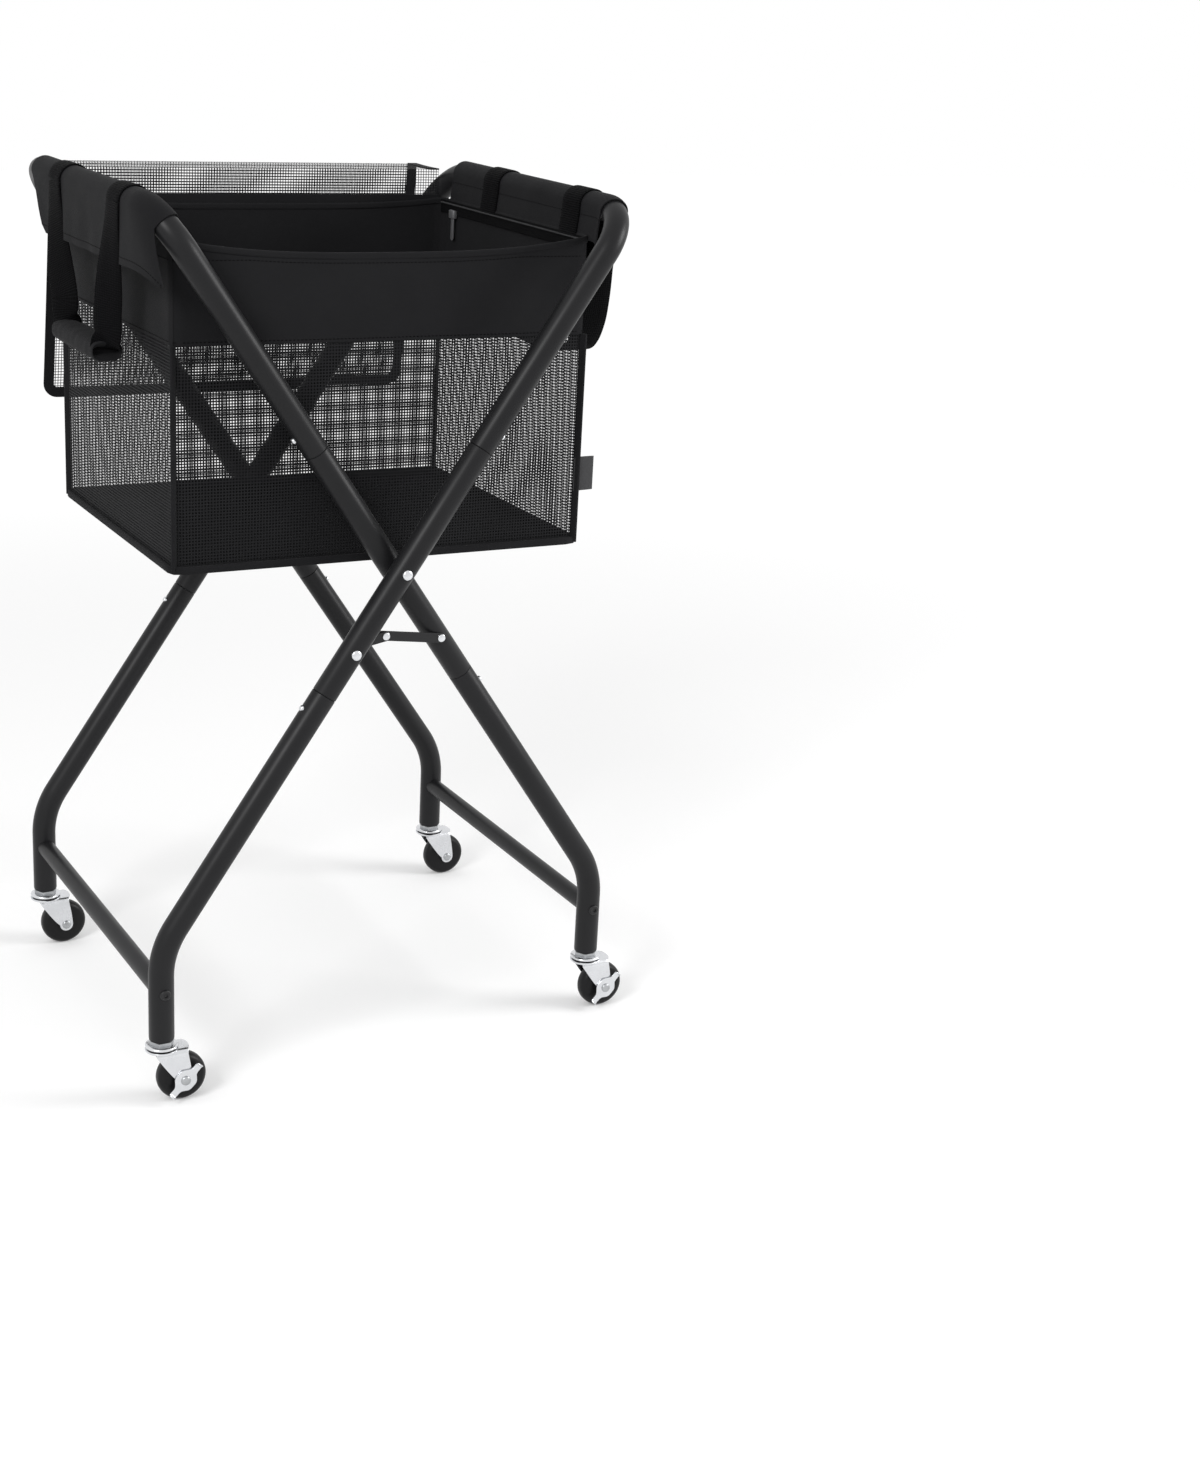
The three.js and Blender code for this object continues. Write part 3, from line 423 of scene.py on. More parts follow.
def tube_tree():
    """Round tube along a chain of edges, with a swell at each point for its rounded ends."""
    tree = bpy.data.node_groups.get("tube_along_path")
    if tree:
        return tree
    inputs = [("Path", "Geometry"), ("Radius", "Float"), ("Sides", "Int"), ("Finish", "Material")]
    tree, given = new_tree("tube_along_path", inputs)
    line = wire(tree, "GeometryNodeMeshToCurve", {"Mesh": given["Path"]}).outputs[0]
    circle = {"Resolution": given["Sides"], "Radius": given["Radius"]}
    ring = wire(tree, "GeometryNodeCurvePrimitiveCircle", circle).outputs[0]
    swell = wire(tree, "GeometryNodeInputNamedAttribute", {"Name": "swell"}).outputs[0]
    skin = {"Curve": line, "Profile Curve": ring, "Scale": swell, "Fill Caps": True}
    return close_tree(tree, wire(tree, "GeometryNodeCurveToMesh", skin).outputs[0], given["Finish"])


def fastener_tree():
    """The same small part at every point, its axis along the point's facing."""
    tree = bpy.data.node_groups.get("parts_on_points")
    if tree:
        return tree
    inputs = [("Points", "Geometry"), ("Part", "Object"), ("Scale", "Float"), ("Finish", "Material")]
    tree, given = new_tree("parts_on_points", inputs)
    facing = wire(tree, "GeometryNodeInputNamedAttribute", {"Name": "facing"}, data_type="FLOAT_VECTOR")
    turn = wire(tree, "FunctionNodeAlignRotationToVector", {"Vector": facing.outputs[0]}, axis="Z").outputs[0]
    part = wire(tree, "GeometryNodeObjectInfo", {"Object": given["Part"]}).outputs["Geometry"]
    copies = {"Points": given["Points"], "Instance": part, "Rotation": turn, "Scale": given["Scale"]}
    placed = wire(tree, "GeometryNodeInstanceOnPoints", copies).outputs[0]
    return close_tree(tree, placed, given["Finish"])


def net_tree():
    """Square mesh cloth laid on a guide surface: a flat net whose holes are cut, then set on the guide."""
    tree = bpy.data.node_groups.get("net_on_guide")
    if tree:
        return tree
    inputs = [("Guide", "Geometry"), ("Width", "Float"), ("Height", "Float"), ("Pitch", "Float")]
    inputs += [("Thread", "Float"), ("Finish", "Material")]
    tree, given = new_tree("net_on_guide", inputs)
    counts = []
    for side in ("Width", "Height"):
        cells = sum_node(tree, "ROUND", sum_node(tree, "DIVIDE", given[side], given["Pitch"]))
        counts.append(sum_node(tree, "ADD", cells, 1.0))
    flat = {"Size X": 1.0, "Size Y": 1.0, "Vertices X": counts[0], "Vertices Y": counts[1]}
    grid = wire(tree, "GeometryNodeMeshGrid", flat).outputs[0]
    lifted = {"Mesh": grid, "Offset Scale": 0.0, "Individual": True}
    cells = wire(tree, "GeometryNodeExtrudeMesh", lifted, mode="FACES").outputs
    share = sum_node(tree, "DIVIDE", given["Thread"], given["Pitch"])
    hole = sum_node(tree, "SUBTRACT", 1.0, share)
    shrink = {"Geometry": cells["Mesh"], "Selection": cells["Top"], "Scale": hole}
    shrunk = wire(tree, "GeometryNodeScaleElements", shrink, domain="FACE").outputs[0]
    cut = {"Geometry": shrunk, "Selection": cells["Top"]}
    net_cloth = wire(tree, "GeometryNodeDeleteGeometry", cut, domain="FACE").outputs[0]
    place = tree.nodes.new("GeometryNodeInputPosition").outputs[0]
    onto = {0: place, 1: (0.998, 0.998, 0), 2: (0.5, 0.5, 0)}
    shifted = wire(tree, "ShaderNodeVectorMath", onto, operation="MULTIPLY_ADD").outputs[0]
    guide_map = wire(tree, "GeometryNodeInputNamedAttribute", {"Name": "guide"}, data_type="FLOAT_VECTOR")
    sample = wire(tree, "GeometryNodeSampleUVSurface", data_type="FLOAT_VECTOR")
    tree.links.new(given["Guide"], sample.inputs["Mesh"])
    tree.links.new(place, sample.inputs["Value"])
    tree.links.new(guide_map.outputs[0], sample.inputs["UV Map"])
    tree.links.new(shifted, sample.inputs["Sample UV"])
    laid = wire(tree, "GeometryNodeSetPosition", {"Geometry": net_cloth, "Position": sample.outputs["Value"]})
    return close_tree(tree, laid.outputs[0], given["Finish"])


def grown(name, seed, tree, values):
    """A plain mesh of what the tree makes from a seed object, which is then removed."""
    modifier = seed.modifiers.new("grow", "NODES")
    modifier.node_group = tree
    for item in tree.interface.items_tree:
        if item.item_type == "SOCKET" and item.in_out == "INPUT" and item.name in values:
            modifier[item.identifier] = values[item.name]
    bpy.context.view_layer.update()
    depsgraph = bpy.context.evaluated_depsgraph_get()
    mesh = bpy.data.meshes.new_from_object(seed.evaluated_get(depsgraph))
    mesh.name = name
    piece = bpy.data.objects.new(name, mesh)
    bpy.context.scene.collection.objects.link(piece)
    bpy.data.objects.remove(seed)
    return piece


def rounded_end(points, radius, lip, first, step):
    """The points and swells that replace one end of a path, so that the cut end is rounded."""
    start = points[first].copy()
    inwards = (points[first + step] - start).normalized()
    places = [start + inwards * lip * share for share in (0, 0.3, 1)]
    return places, [1 - lip / radius * 0.55, 1 - lip / radius * 0.15, 1.0]


def tube(name, path, radius, sides, paint, lips=(0.0, 0.0)):
    """Round tube through the points of a path, with a rounding for each of its cut ends."""
    points = [Vector(p) for p in path]
    swell = [1.0] * len(points)
    if lips[0]:
        points[0:1], swell[0:1] = rounded_end(points, radius, lips[0], 0, 1)
    if lips[1]:
        places, sizes = rounded_end(points, radius, lips[1], -1, -1)
        points[-1:] = places[::-1]
        swell[-1:] = sizes[::-1]
    mesh = bpy.data.meshes.new(name)
    mesh.from_pydata([tuple(p) for p in points], [(i, i + 1) for i in range(len(points) - 1)], [])
    mesh.attributes.new("swell", "FLOAT", "POINT").data.foreach_set("value", swell)
    seed = bpy.data.objects.new(name + "_path", mesh)
    bpy.context.scene.collection.objects.link(seed)
    return grown(name, seed, tube_tree(), {"Radius": radius, "Sides": sides, "Finish": paint})


def parts_on(name, part, spots, paint, scale=1.0):
    """Copies of a small part on spots, each a point and the way it faces. The part is removed."""
    mesh = bpy.data.meshes.new(name)
    mesh.from_pydata([tuple(point) for point, _ in spots], [], [])
    facing = np.array([tuple(way) for _, way in spots], float).ravel()
    mesh.attributes.new("facing", "FLOAT_VECTOR", "POINT").data.foreach_set("vector", facing)
    seed = bpy.data.objects.new(name + "_points", mesh)
    bpy.context.scene.collection.objects.link(seed)
    piece = grown(name, seed, fastener_tree(), {"Part": part, "Scale": scale, "Finish": paint})
    bpy.data.objects.remove(part)
    return piece


def lathe(name, profile, segments=40):
    """Closed shape turned about Z from radius and height pairs that start and end on the axis."""
    verts, rings = [], []
    for radius, height in profile:
        if radius < 1e-7:
            rings.append([len(verts)])
            verts.append((0, 0, height))
            continue
        rings.append(list(range(len(verts), len(verts) + segments)))
        for i in range(segments):
            angle = TURN * i / segments
            verts.append((radius * math.cos(angle), radius * math.sin(angle), height))
    faces = []
    for low, high in zip(rings, rings[1:]):
        for i in range(segments):
            j = (i + 1) % segments
            if len(low) == 1:
                faces.append((low[0], high[j], high[i]))
            elif len(high) == 1:
                faces.append((low[i], low[j], high[0]))
            else:
                faces.append((low[i], low[j], high[j], high[i]))
    return mesh_object(name, verts, faces)


def moved(piece, place=(0, 0, 0), facing=None):
    """Turns a part's +Z to its facing and moves it, in its mesh."""
    matrix = Matrix.Translation(Vector(place))
    if facing is not None:
        matrix = matrix @ Z.rotation_difference(Vector(facing)).to_matrix().to_4x4()
    piece.data.transform(matrix)
    return piece


def tangents(centres):
    """Way the path runs at each of its points."""
    last = len(centres) - 1
    ways = []
    for i in range(last + 1):
        ways.append((centres[min(i + 1, last)] - centres[max(i - 1, 0)]).normalized())
    return ways


def sweep(name, centres, across, upward, outline, closed=False):
    """Skin through rings: each ring is the outline set on its centre by its two directions."""
    centres = [Vector(c) for c in centres]
    rings = len(centres)
    outlines = outline if isinstance(outline[0][0], (tuple, list)) else [outline] * rings
    if upward is None:
        upward = [way.cross(side).normalized() for way, side in zip(tangents(centres), across)]
    count = len(outlines[0])
    first = outlines[0]
    around = [0.0]
    for k in range(count):
        (a, b), (c, d) = first[k], first[(k + 1) % count]
        around.append(around[-1] + math.hypot(a - c, b - d))
    along = [0.0]
    for i in range(rings):
        along.append(along[-1] + (centres[(i + 1) % rings] - centres[i]).length)
    verts = []
    for i in range(rings):
        for a, b in outlines[i]:
            verts.append(centres[i] + Vector(across[i]) * a + Vector(upward[i]) * b)
    faces, corners = [], []
    for i in range(rings if closed else rings - 1):
        n = (i + 1) % rings
        for k in range(count):
            m = (k + 1) % count
            faces.append((i * count + k, i * count + m, n * count + m, n * count + k))
            low, high = along[i], along[i + 1]
            corners += [(around[k], low), (around[k + 1], low), (around[k + 1], high), (around[k], high)]
    if not closed:
        faces.append(tuple(reversed(range(count))))
        faces.append(tuple(range((rings - 1) * count, rings * count)))
        corners += [first[k] for k in reversed(range(count))] + [first[k] for k in range(count)]
    piece = mesh_object(name, verts, faces)
    layer = piece.data.uv_layers.new(name="cloth")
    layer.data.foreach_set("uv", np.array(corners, float).ravel())
    return piece


def rounded_flat(width, thick, steps=3):
    """Outline of a flat strip with round edges."""
    r = thick / 2
    points = []
    for side, start in ((1, -90), (-1, 90)):
        for i in range(steps + 1):
            angle = math.radians(start + 180 * i / steps)
            points.append((side * (width / 2 - r) + r * math.cos(angle), r * math.sin(angle)))
    crown = []
    for i, (a, b) in enumerate(points):
        crown.append((a, b))
        if i % (steps + 1) == steps:
            c, d = points[(i + 1) % len(points)]
            crown += [(a + (c - a) * share, b + (d - b) * share) for share in (0.25, 0.5, 0.75)]
    return crown


def cloth_grid(name, points, thick, guide=False):
    """Cloth through a grid of points, rows by columns, with its own map in metres."""
    rows, columns = len(points), len(points[0])
    verts = [p for row in points for p in row]
    grid = np.array([[tuple(p) for p in row] for row in points], float)
    u = np.zeros((rows, columns))
    v = np.zeros((rows, columns))
    u[:, 1:] = np.cumsum(np.linalg.norm(np.diff(grid, axis=1), axis=2), axis=1)
    v[1:, :] = np.cumsum(np.linalg.norm(np.diff(grid, axis=0), axis=2), axis=0)
    uvs = [(u[r, c], v[r, c]) for r in range(rows) for c in range(columns)]
    if guide:
        uvs = [(c / (columns - 1), r / (rows - 1)) for r in range(rows) for c in range(columns)]
    faces = []
    for r in range(rows - 1):
        for c in range(columns - 1):
            a = r * columns + c
            faces.append((a, a + 1, a + columns + 1, a + columns))
    piece = mesh_object(name, verts, faces, uvs)
    if guide:
        piece.data.uv_layers[0].name = "guide"
    elif thick:
        wall = piece.modifiers.new("wall", "SOLIDIFY")
        wall.thickness = thick
        wall.offset = 0
    return piece


def net(name, points, pitch, thread, paint):
    """Mesh cloth on a grid of points."""
    grid = np.array([[tuple(p) for p in row] for row in points], float)
    width = np.linalg.norm(np.diff(grid, axis=1), axis=2).sum(axis=1).mean()
    height = np.linalg.norm(np.diff(grid, axis=0), axis=2).sum(axis=0).mean()
    guide = cloth_grid(name + "_guide", points, 0, guide=True)
    values = {"Width": float(width), "Height": float(height), "Finish": paint}
    values |= {"Pitch": pitch, "Thread": thread}
    return grown(name, guide, net_tree(), values)


def spots_along(path, step):
    """Points this far apart along a path, each with the way the path runs there."""
    points = np.array([tuple(p) for p in path], float)
    along = np.concatenate([[0], np.cumsum(np.linalg.norm(np.diff(points, axis=0), axis=1))])

    def point(place):
        return Vector([np.interp(place, along, points[:, k]) for k in range(3)])

    spots = []
    for place in np.arange(step / 2, along[-1], step):
        way = point(min(place + MM, along[-1])) - point(max(place - MM, 0))
        spots.append((point(place), way.normalized()))
    return spots


def stitches(name, path, sizes, paint):
    """A line of short raised stitches along a path that lies on the cloth."""
    half, thick = sizes.stitch * 0.34, 0.38 * MM
    part = lathe("stitch_part", [(0, -half), (thick, -half * 0.6), (thick, half * 0.6), (0, half)], 5)
    return parts_on(name, part, spots_along(path, sizes.stitch), paint)


def crush(piece):
    """Gives the piece a mesh of its own."""
    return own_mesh(piece)


def carry(piece):
    """Gives the piece a mesh of its own."""
    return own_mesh(piece)


# Each frame: the side its top bar lies on, and how far back its front and its back leg are.
FRAMES = {"b": (1, OUTER_Y, INNER_Y), "a": (-1, -INNER_Y, -OUTER_Y)}

# Half the width of the joint line between two tubes of a frame.
SEAT = 0.15 * MM


def leg_point(letter, distance, y):
    """A point on the slanted run of a frame, this far above its pivot."""
    side = FRAMES[letter][0]
    return at(side * distance * UP.x, y, PIVOT_Z + distance * UP.z)


def corner_arc(letter, y, inward, radius, steps=16):
    """Bend between a slanted run and the top bar."""
    side = FRAMES[letter][0]
    down, inside = Vector((-side * UP.x, 0, -UP.z)), Y * inward
    centre = at(side * BAR_X, y, BAR_Z) + (inside + down) * radius
    turns = [math.pi / 2 * i / steps for i in range(steps + 1)]
    return [centre - inside * radius * math.cos(t) - down * radius * math.sin(t) for t in turns]


def knee_path(letter, y, sizes, steps=14):
    side, radius = FRAMES[letter][0], sizes.knee_bend
    middle_x = radius - FOOT_X
    middle_z = KNEE_Z - radius * math.tan(LEAN / 2)
    path = [leg_point(letter, -sizes.splice - SEAT, y)]
    for i in range(steps + 1):
        angle = LEAN * (1 - i / steps)
        x = side * (middle_x - radius * math.cos(angle))
        path.append(at(x, y, middle_z + radius * math.sin(angle)))
    return path + [at(-side * FOOT_X, y, LEG_END)]


class CART_OT_tubes(bpy.types.Operator):
    """Two looped bars, four middle tubes, four bent legs and two spreaders"""

    bl_idname = "cart.tubes"
    bl_label = "Frame tubes"

    def execute(self, context):
        sizes = context.scene.cart_tubes
        coat = powder_coat(sizes)
        lip = sizes.lip

        def add(name, letter, path, radius, lips):
            piece = tube(name + "_look", path, radius, sizes.sides, coat, lips)
            finish(piece, "frame_" + letter, coat, "frame_tube", [name])

        for letter, (side, front, back) in FRAMES.items():
            start = sizes.splice + SEAT
            loop = [leg_point(letter, start, front)]
            loop += corner_arc(letter, front, 1, sizes.bar_bend)
            loop += corner_arc(letter, back, -1, sizes.bar_bend)[::-1]
            loop.append(leg_point(letter, start, back))
            add("loop_tube_" + letter, letter, loop, sizes.radius, (lip, lip))
            for place, y in zip(SIDES, (front, back)):
                ends = [leg_point(letter, half * (sizes.splice - SEAT), y) for half in (-1, 1)]
                add(f"middle_tube_{letter}_{place}", letter, ends, sizes.radius, (lip, lip))
                knee = knee_path(letter, y, sizes)
                add(f"leg_tube_{letter}_{place}", letter, knee, sizes.radius, (lip, sizes.foot_lip))
            ends = [at(-side * FOOT_X, y, SPREADER_Z) for y in (front + TUBE / 2, back - TUBE / 2)]
            add("spreader_" + letter, letter, ends, sizes.spreader, (0, 0))
        return {"FINISHED"}


# Rivet heads: their height and how deep they sit. A spring button's radius, height and depth, and how far
# it lies past the joint line of the tubes.
HEAD_RISE, HEAD_SUNK = 2.6 * MM, 1.2 * MM
BUTTON = (3.2 * MM, 2.6 * MM, 6 * MM)
BUTTON_PAST = 22 * MM

# Distance of the brace's fixed rivets from the pivot along the tubes, and the links' lengths as shares of
# the distance between those rivets.
BRACE_REACH = 92.8 * MM
SHORT_SHARE, LONG_SHARE = 0.4166, 0.5957


def dome(radius, height, sunk):
    """Domed head whose seat is at Z = 0, and that reaches this far below it."""
    rise = [(1, 0.2), (0.96, 0.45), (0.85, 0.68), (0.66, 0.86), (0.36, 0.97), (0, 1)]
    profile = [(0, -sunk), (radius, -sunk)] + [(radius * r, height * h) for r, h in rise]
    return lathe("dome_part", profile, 24)


def turned(name, rings, segments=40):
    """Turned part from rings of radius and height in mm."""
    return lathe(name, [(r * MM, h * MM) for r, h in rings], segments)


def plate(name, outline, low, high, bevel=0.25 * MM):
    """Flat plate with an outline in X and Z, between two depths along Y."""
    count = len(outline)
    verts = [(x, low, z) for x, z in outline] + [(x, high, z) for x, z in outline]
    faces = [tuple(range(count)), tuple(reversed(range(count, 2 * count)))]
    faces += [(i, i + count, (i + 1) % count + count, (i + 1) % count) for i in range(count)]
    piece = mesh_object(name, verts, faces)
    edge = piece.modifiers.new("edge", "BEVEL")
    edge.width, edge.segments = bevel, 2
    return piece


def capsule(start, end, half, steps=10):
    """Outline in X and Z round two points, wound to face forwards."""
    along = Vector((end.x - start.x, 0, end.z - start.z)).normalized()
    base = math.atan2(along.z, along.x)
    points = []
    for centre, first in ((end, base - math.pi / 2), (start, base + math.pi / 2)):
        for i in range(steps + 1):
            angle = first + math.pi * i / steps
            points.append((centre.x + half * math.cos(angle), centre.z + half * math.sin(angle)))
    return points


class CART_OT_fasteners(bpy.types.Operator):
    """Pivot rivets with their collars, bolts of the spreaders and spring buttons of the joints"""

    bl_idname = "cart.fasteners"
    bl_label = "Fasteners"

    def execute(self, context):
        sizes = context.scene.cart_tubes
        zinc, black = bright_zinc(context.scene.cart_casters), black_steel(sizes)
        for letter, (side, front, back) in FRAMES.items():
            self.pivot(sizes, zinc, black, letter, side)
            spots = []
            for y, facing in ((front, -1), (back, 1)):
                spots.append((at(-side * FOOT_X, y + facing * TUBE, SPREADER_Z), Y * facing))
            rings = [(0, -1.4), (5.4, -1.4), (5.4, 1.1), (5.1, 1.6), (4.5, 1.9)]
            rings += [(2.7, 1.9), (2.4, 1.7), (2.4, 0.6), (0, 0.5)]
            bolts = parts_on(f"spreader_bolts_{letter}", turned("screw_part", rings, 24), spots, black)
            replaced = [f"spreader_bolt_{letter}_{end}" for end in SIDES]
            finish(bolts, "frame_" + letter, black, "bolt", replaced)
            for half, level in ((1, "upper"), (-1, "lower")):
                outwards = Vector((half * side * UP.z, 0, -half * UP.x))
                for end, y in zip(SIDES, (front, back)):
                    name = f"snap_button_{letter}_{level}_{end}"
                    spot = leg_point(letter, half * (sizes.splice + BUTTON_PAST), y) + outwards * TUBE
                    button = moved(dome(*BUTTON), spot, outwards)
                    button.name = name + "_look"
                    finish(button, name, zinc, "zinc", [name])
        return {"FINISHED"}

    def pivot(self, sizes, zinc, black, letter, side):
        body, way = "frame_" + letter, -side
        place = "front" if side > 0 else "back"
        outer, inner = way * abs(OUTER_Y), way * abs(INNER_Y)
        faces = [(outer + way * TUBE, way), (inner - way * TUBE, -way)]
        spots = [(at(0, y, PIVOT_Z), Y * facing) for y, facing in faces]
        head = dome(sizes.rivet_head, HEAD_RISE, HEAD_SUNK)
        heads = parts_on(f"pivot_heads_{place}", head, spots, zinc)
        finish(heads, body, zinc, "zinc", ["pivot_rivet_" + place])
        gap = (abs(OUTER_Y) - abs(INNER_Y) - 2 * TUBE) / MM
        edge, wide = 0.4, 6
        rings = [(0, 0), (wide - edge, 0), (wide, edge), (wide, gap - edge), (wide - edge, gap), (0, gap)]
        collar = turned(f"pivot_collar_{place}", rings)
        finish(moved(collar, at(0, inner + way * TUBE, PIVOT_Z), Y * way), body, black, "bolt")


class CART_OT_braces(bpy.types.Operator):
    """Folding brace links below the two pivots, with their rivets"""

    bl_idname = "cart.braces"
    bl_label = "Folding braces"

    def execute(self, context):
        sizes = context.scene.cart_tubes
        zinc, black = bright_zinc(context.scene.cart_casters), black_steel(sizes)
        span = 2 * BRACE_REACH * UP.x
        short, long = SHORT_SHARE * span, LONG_SHARE * span
        along = (short**2 - long**2 + span**2) / (2 * span)
        height = PIVOT_Z - BRACE_REACH * UP.z
        rise = math.sqrt(short**2 - along**2)
        thick, play = 1.6 * MM, 0.3 * MM
        for place, side in (("front", 1), ("back", -1)):
            way = -side
            low = at(-side * span / 2, 0, height)
            middle = at(side * (along - span / 2), 0, height + rise)
            far = at(side * span / 2, 0, height)
            outer, inner = abs(OUTER_Y) - TUBE - play, abs(INNER_Y) + TUBE + play
            tail = middle + (middle - far).normalized() * 15 * MM

            def link(name, start, end, face, back_face):
                ys = sorted((CENTRE.y + way * face, CENTRE.y + way * back_face))
                piece = plate(name + "_look", capsule(start, end, 5 * MM), *ys)
                finish(piece, name, black, "brace", [name])

            def head(point, y, facing, radius, rise_of_head, sunk):
                spot = (point.x, CENTRE.y + way * y, point.z)
                return moved(dome(radius, rise_of_head, sunk), spot, Y * facing)

            link(f"brace_short_{place}", low, middle, outer, outer - thick)
            link(f"brace_long_{place}", far, tail, inner, inner + thick)
            big = sizes.rivet_head
            heads = [head(low, abs(OUTER_Y) + TUBE, way, big, HEAD_RISE, HEAD_SUNK)]
            heads.append(head(middle, outer, way, 4 * MM, 1.2 * MM, thick))
            finish(merged(f"brace_short_{place}_rivets", heads), f"brace_short_{place}", zinc, "zinc")
            heads = [head(far, abs(INNER_Y) - TUBE, -way, big, HEAD_RISE, HEAD_SUNK)]
            heads.append(head(far, inner + thick, way, 4 * MM, MM, thick))
            finish(merged(f"brace_long_{place}_rivets", heads), f"brace_long_{place}", zinc, "zinc")
        return {"FINISHED"}


def fork_sheet(sizes):
    """Pressed fork about its swivel axis: two tapering cheeks and the crown between them."""
    end, bend, nose = 7.5 * MM, 4 * MM, -9 * MM
    top = 57.6 * MM
    trail, axle = TRAIL, AXLE.z
    heel = sizes.crown - 4 * MM
    rows = []
    for angle in (-78, -58, -38, -18, 0):
        reach = end * math.cos(math.radians(angle))
        height = axle + end * math.sin(math.radians(angle))
        rows.append((-sizes.cheek, height, trail - reach, trail + reach))
    for i in range(1, 11):
        share = i / 10
        left = trail - end + (nose - trail + end) * share**0.85
        right = trail + end + (heel - trail - end) * share**1.4
        rows.append((-sizes.cheek, axle + (top - bend - axle) * share, left, right))
    for i in range(1, 6):
        angle = math.pi / 2 * i / 5
        y = -sizes.cheek + bend * (1 - math.cos(angle))
        rows.append((y, top - bend + bend * math.sin(angle), nose, heel + MM * i / 5))
    for share in (0.55, 0.36, 0.18):
        round_end = heel + MM + (sizes.crown - heel - MM) * math.sqrt(1 - (share / 0.7) ** 2)
        rows.append((-sizes.cheek * share, top, nose, round_end))
    rows += [(-y, z, left, right) for y, z, left, right in reversed(rows)]
    grid = []
    for y, z, left, right in rows:
        grid.append([Vector((left + (right - left) * k / 8, y, z)) for k in range(9)])
    sheet = cloth_grid("fork_part", grid, sizes.sheet)
    edge = sheet.modifiers.new("edge", "BEVEL")
    edge.width, edge.segments = 0.5 * MM, 2
    return sheet


def brake_lever(sizes, wheel):
    """Leaf-shaped plate on the axle, whose two tips are bent outwards as finger tabs."""
    lean = math.radians(46)
    along = Vector((math.cos(lean), 0, math.sin(lean)))
    side = Vector((-math.sin(lean), 0, math.cos(lean)))
    half, flat, bend = sizes.lever / 2, 18 * MM, 3.2 * MM
    arm, belly, belly_reach, tip_loss = 3.7 * MM, 7.2 * MM, 9.6 * MM, 1.4 * MM
    face, knurl, knurl_from = 15.35 * MM, 0.5 * MM, 12 * MM
    rows = []
    for i in range(33):
        share = -1 + i / 16
        a = share * half
        leaf = math.exp(-((a / belly_reach) ** 4))
        width = arm + belly * leaf - tip_loss * max(0, abs(share) - 0.9) * 10
        past = max(0, abs(a) - flat)
        turn = min(past / bend, math.pi / 2)
        place = math.copysign(min(abs(a), flat) + bend * math.sin(turn), a)
        out = bend * (1 - math.cos(turn)) + max(0, past - bend * math.pi / 2)
        out += knurl * (i % 2) * (knurl_from < abs(a) < flat)
        centre = wheel + along * place + Y * (-face - out)
        rows.append([centre + side * width * (k - 4) / 4 for k in range(9)])
    lever = cloth_grid("lever_part", rows, 1.5 * MM)
    edge = lever.modifiers.new("edge", "BEVEL")
    edge.width, edge.segments = 0.35 * MM, 2
    return lever


# Turned parts of a caster: radius and height above the floor, in mm.
NUT = [(0, 63.3), (11.5, 63.3), (12.4, 63.8), (12.4, 67.3), (11.4, 67.95), (0, 67.95)]
RACE = [(0, 60.3), (15.4, 60.3), (16.3, 60.9), (16.5, 61.8), (16.2, 62.6), (15.2, 63.3)]
RACE += [(12.8, 63.7), (0, 63.7)]
# A black ring in the gap between the race and the crown: painted shade in that gap, not a part of the caster.
GAP_SHADE_RING = [(0, 58.85), (14.4, 58.85), (14.4, 60.35), (0, 60.35)]
PIN = [(0, 54.8), (3.6, 54.9), (5.6, 55.4), (6.2, 56.1), (6.2, 56.8), (0, 56.8)]
CROWN = [(0, 56.5), (16.1, 56.5), (16.6, 56.9), (16.6, 58.2), (16.1, 58.7), (0, 58.7)]

# Where an axle's heads sit, in mm from the wheel's middle: on a brake lever and on a bare fork.
LEVER_SEAT, FORK_SEAT = 16.35, 14.3


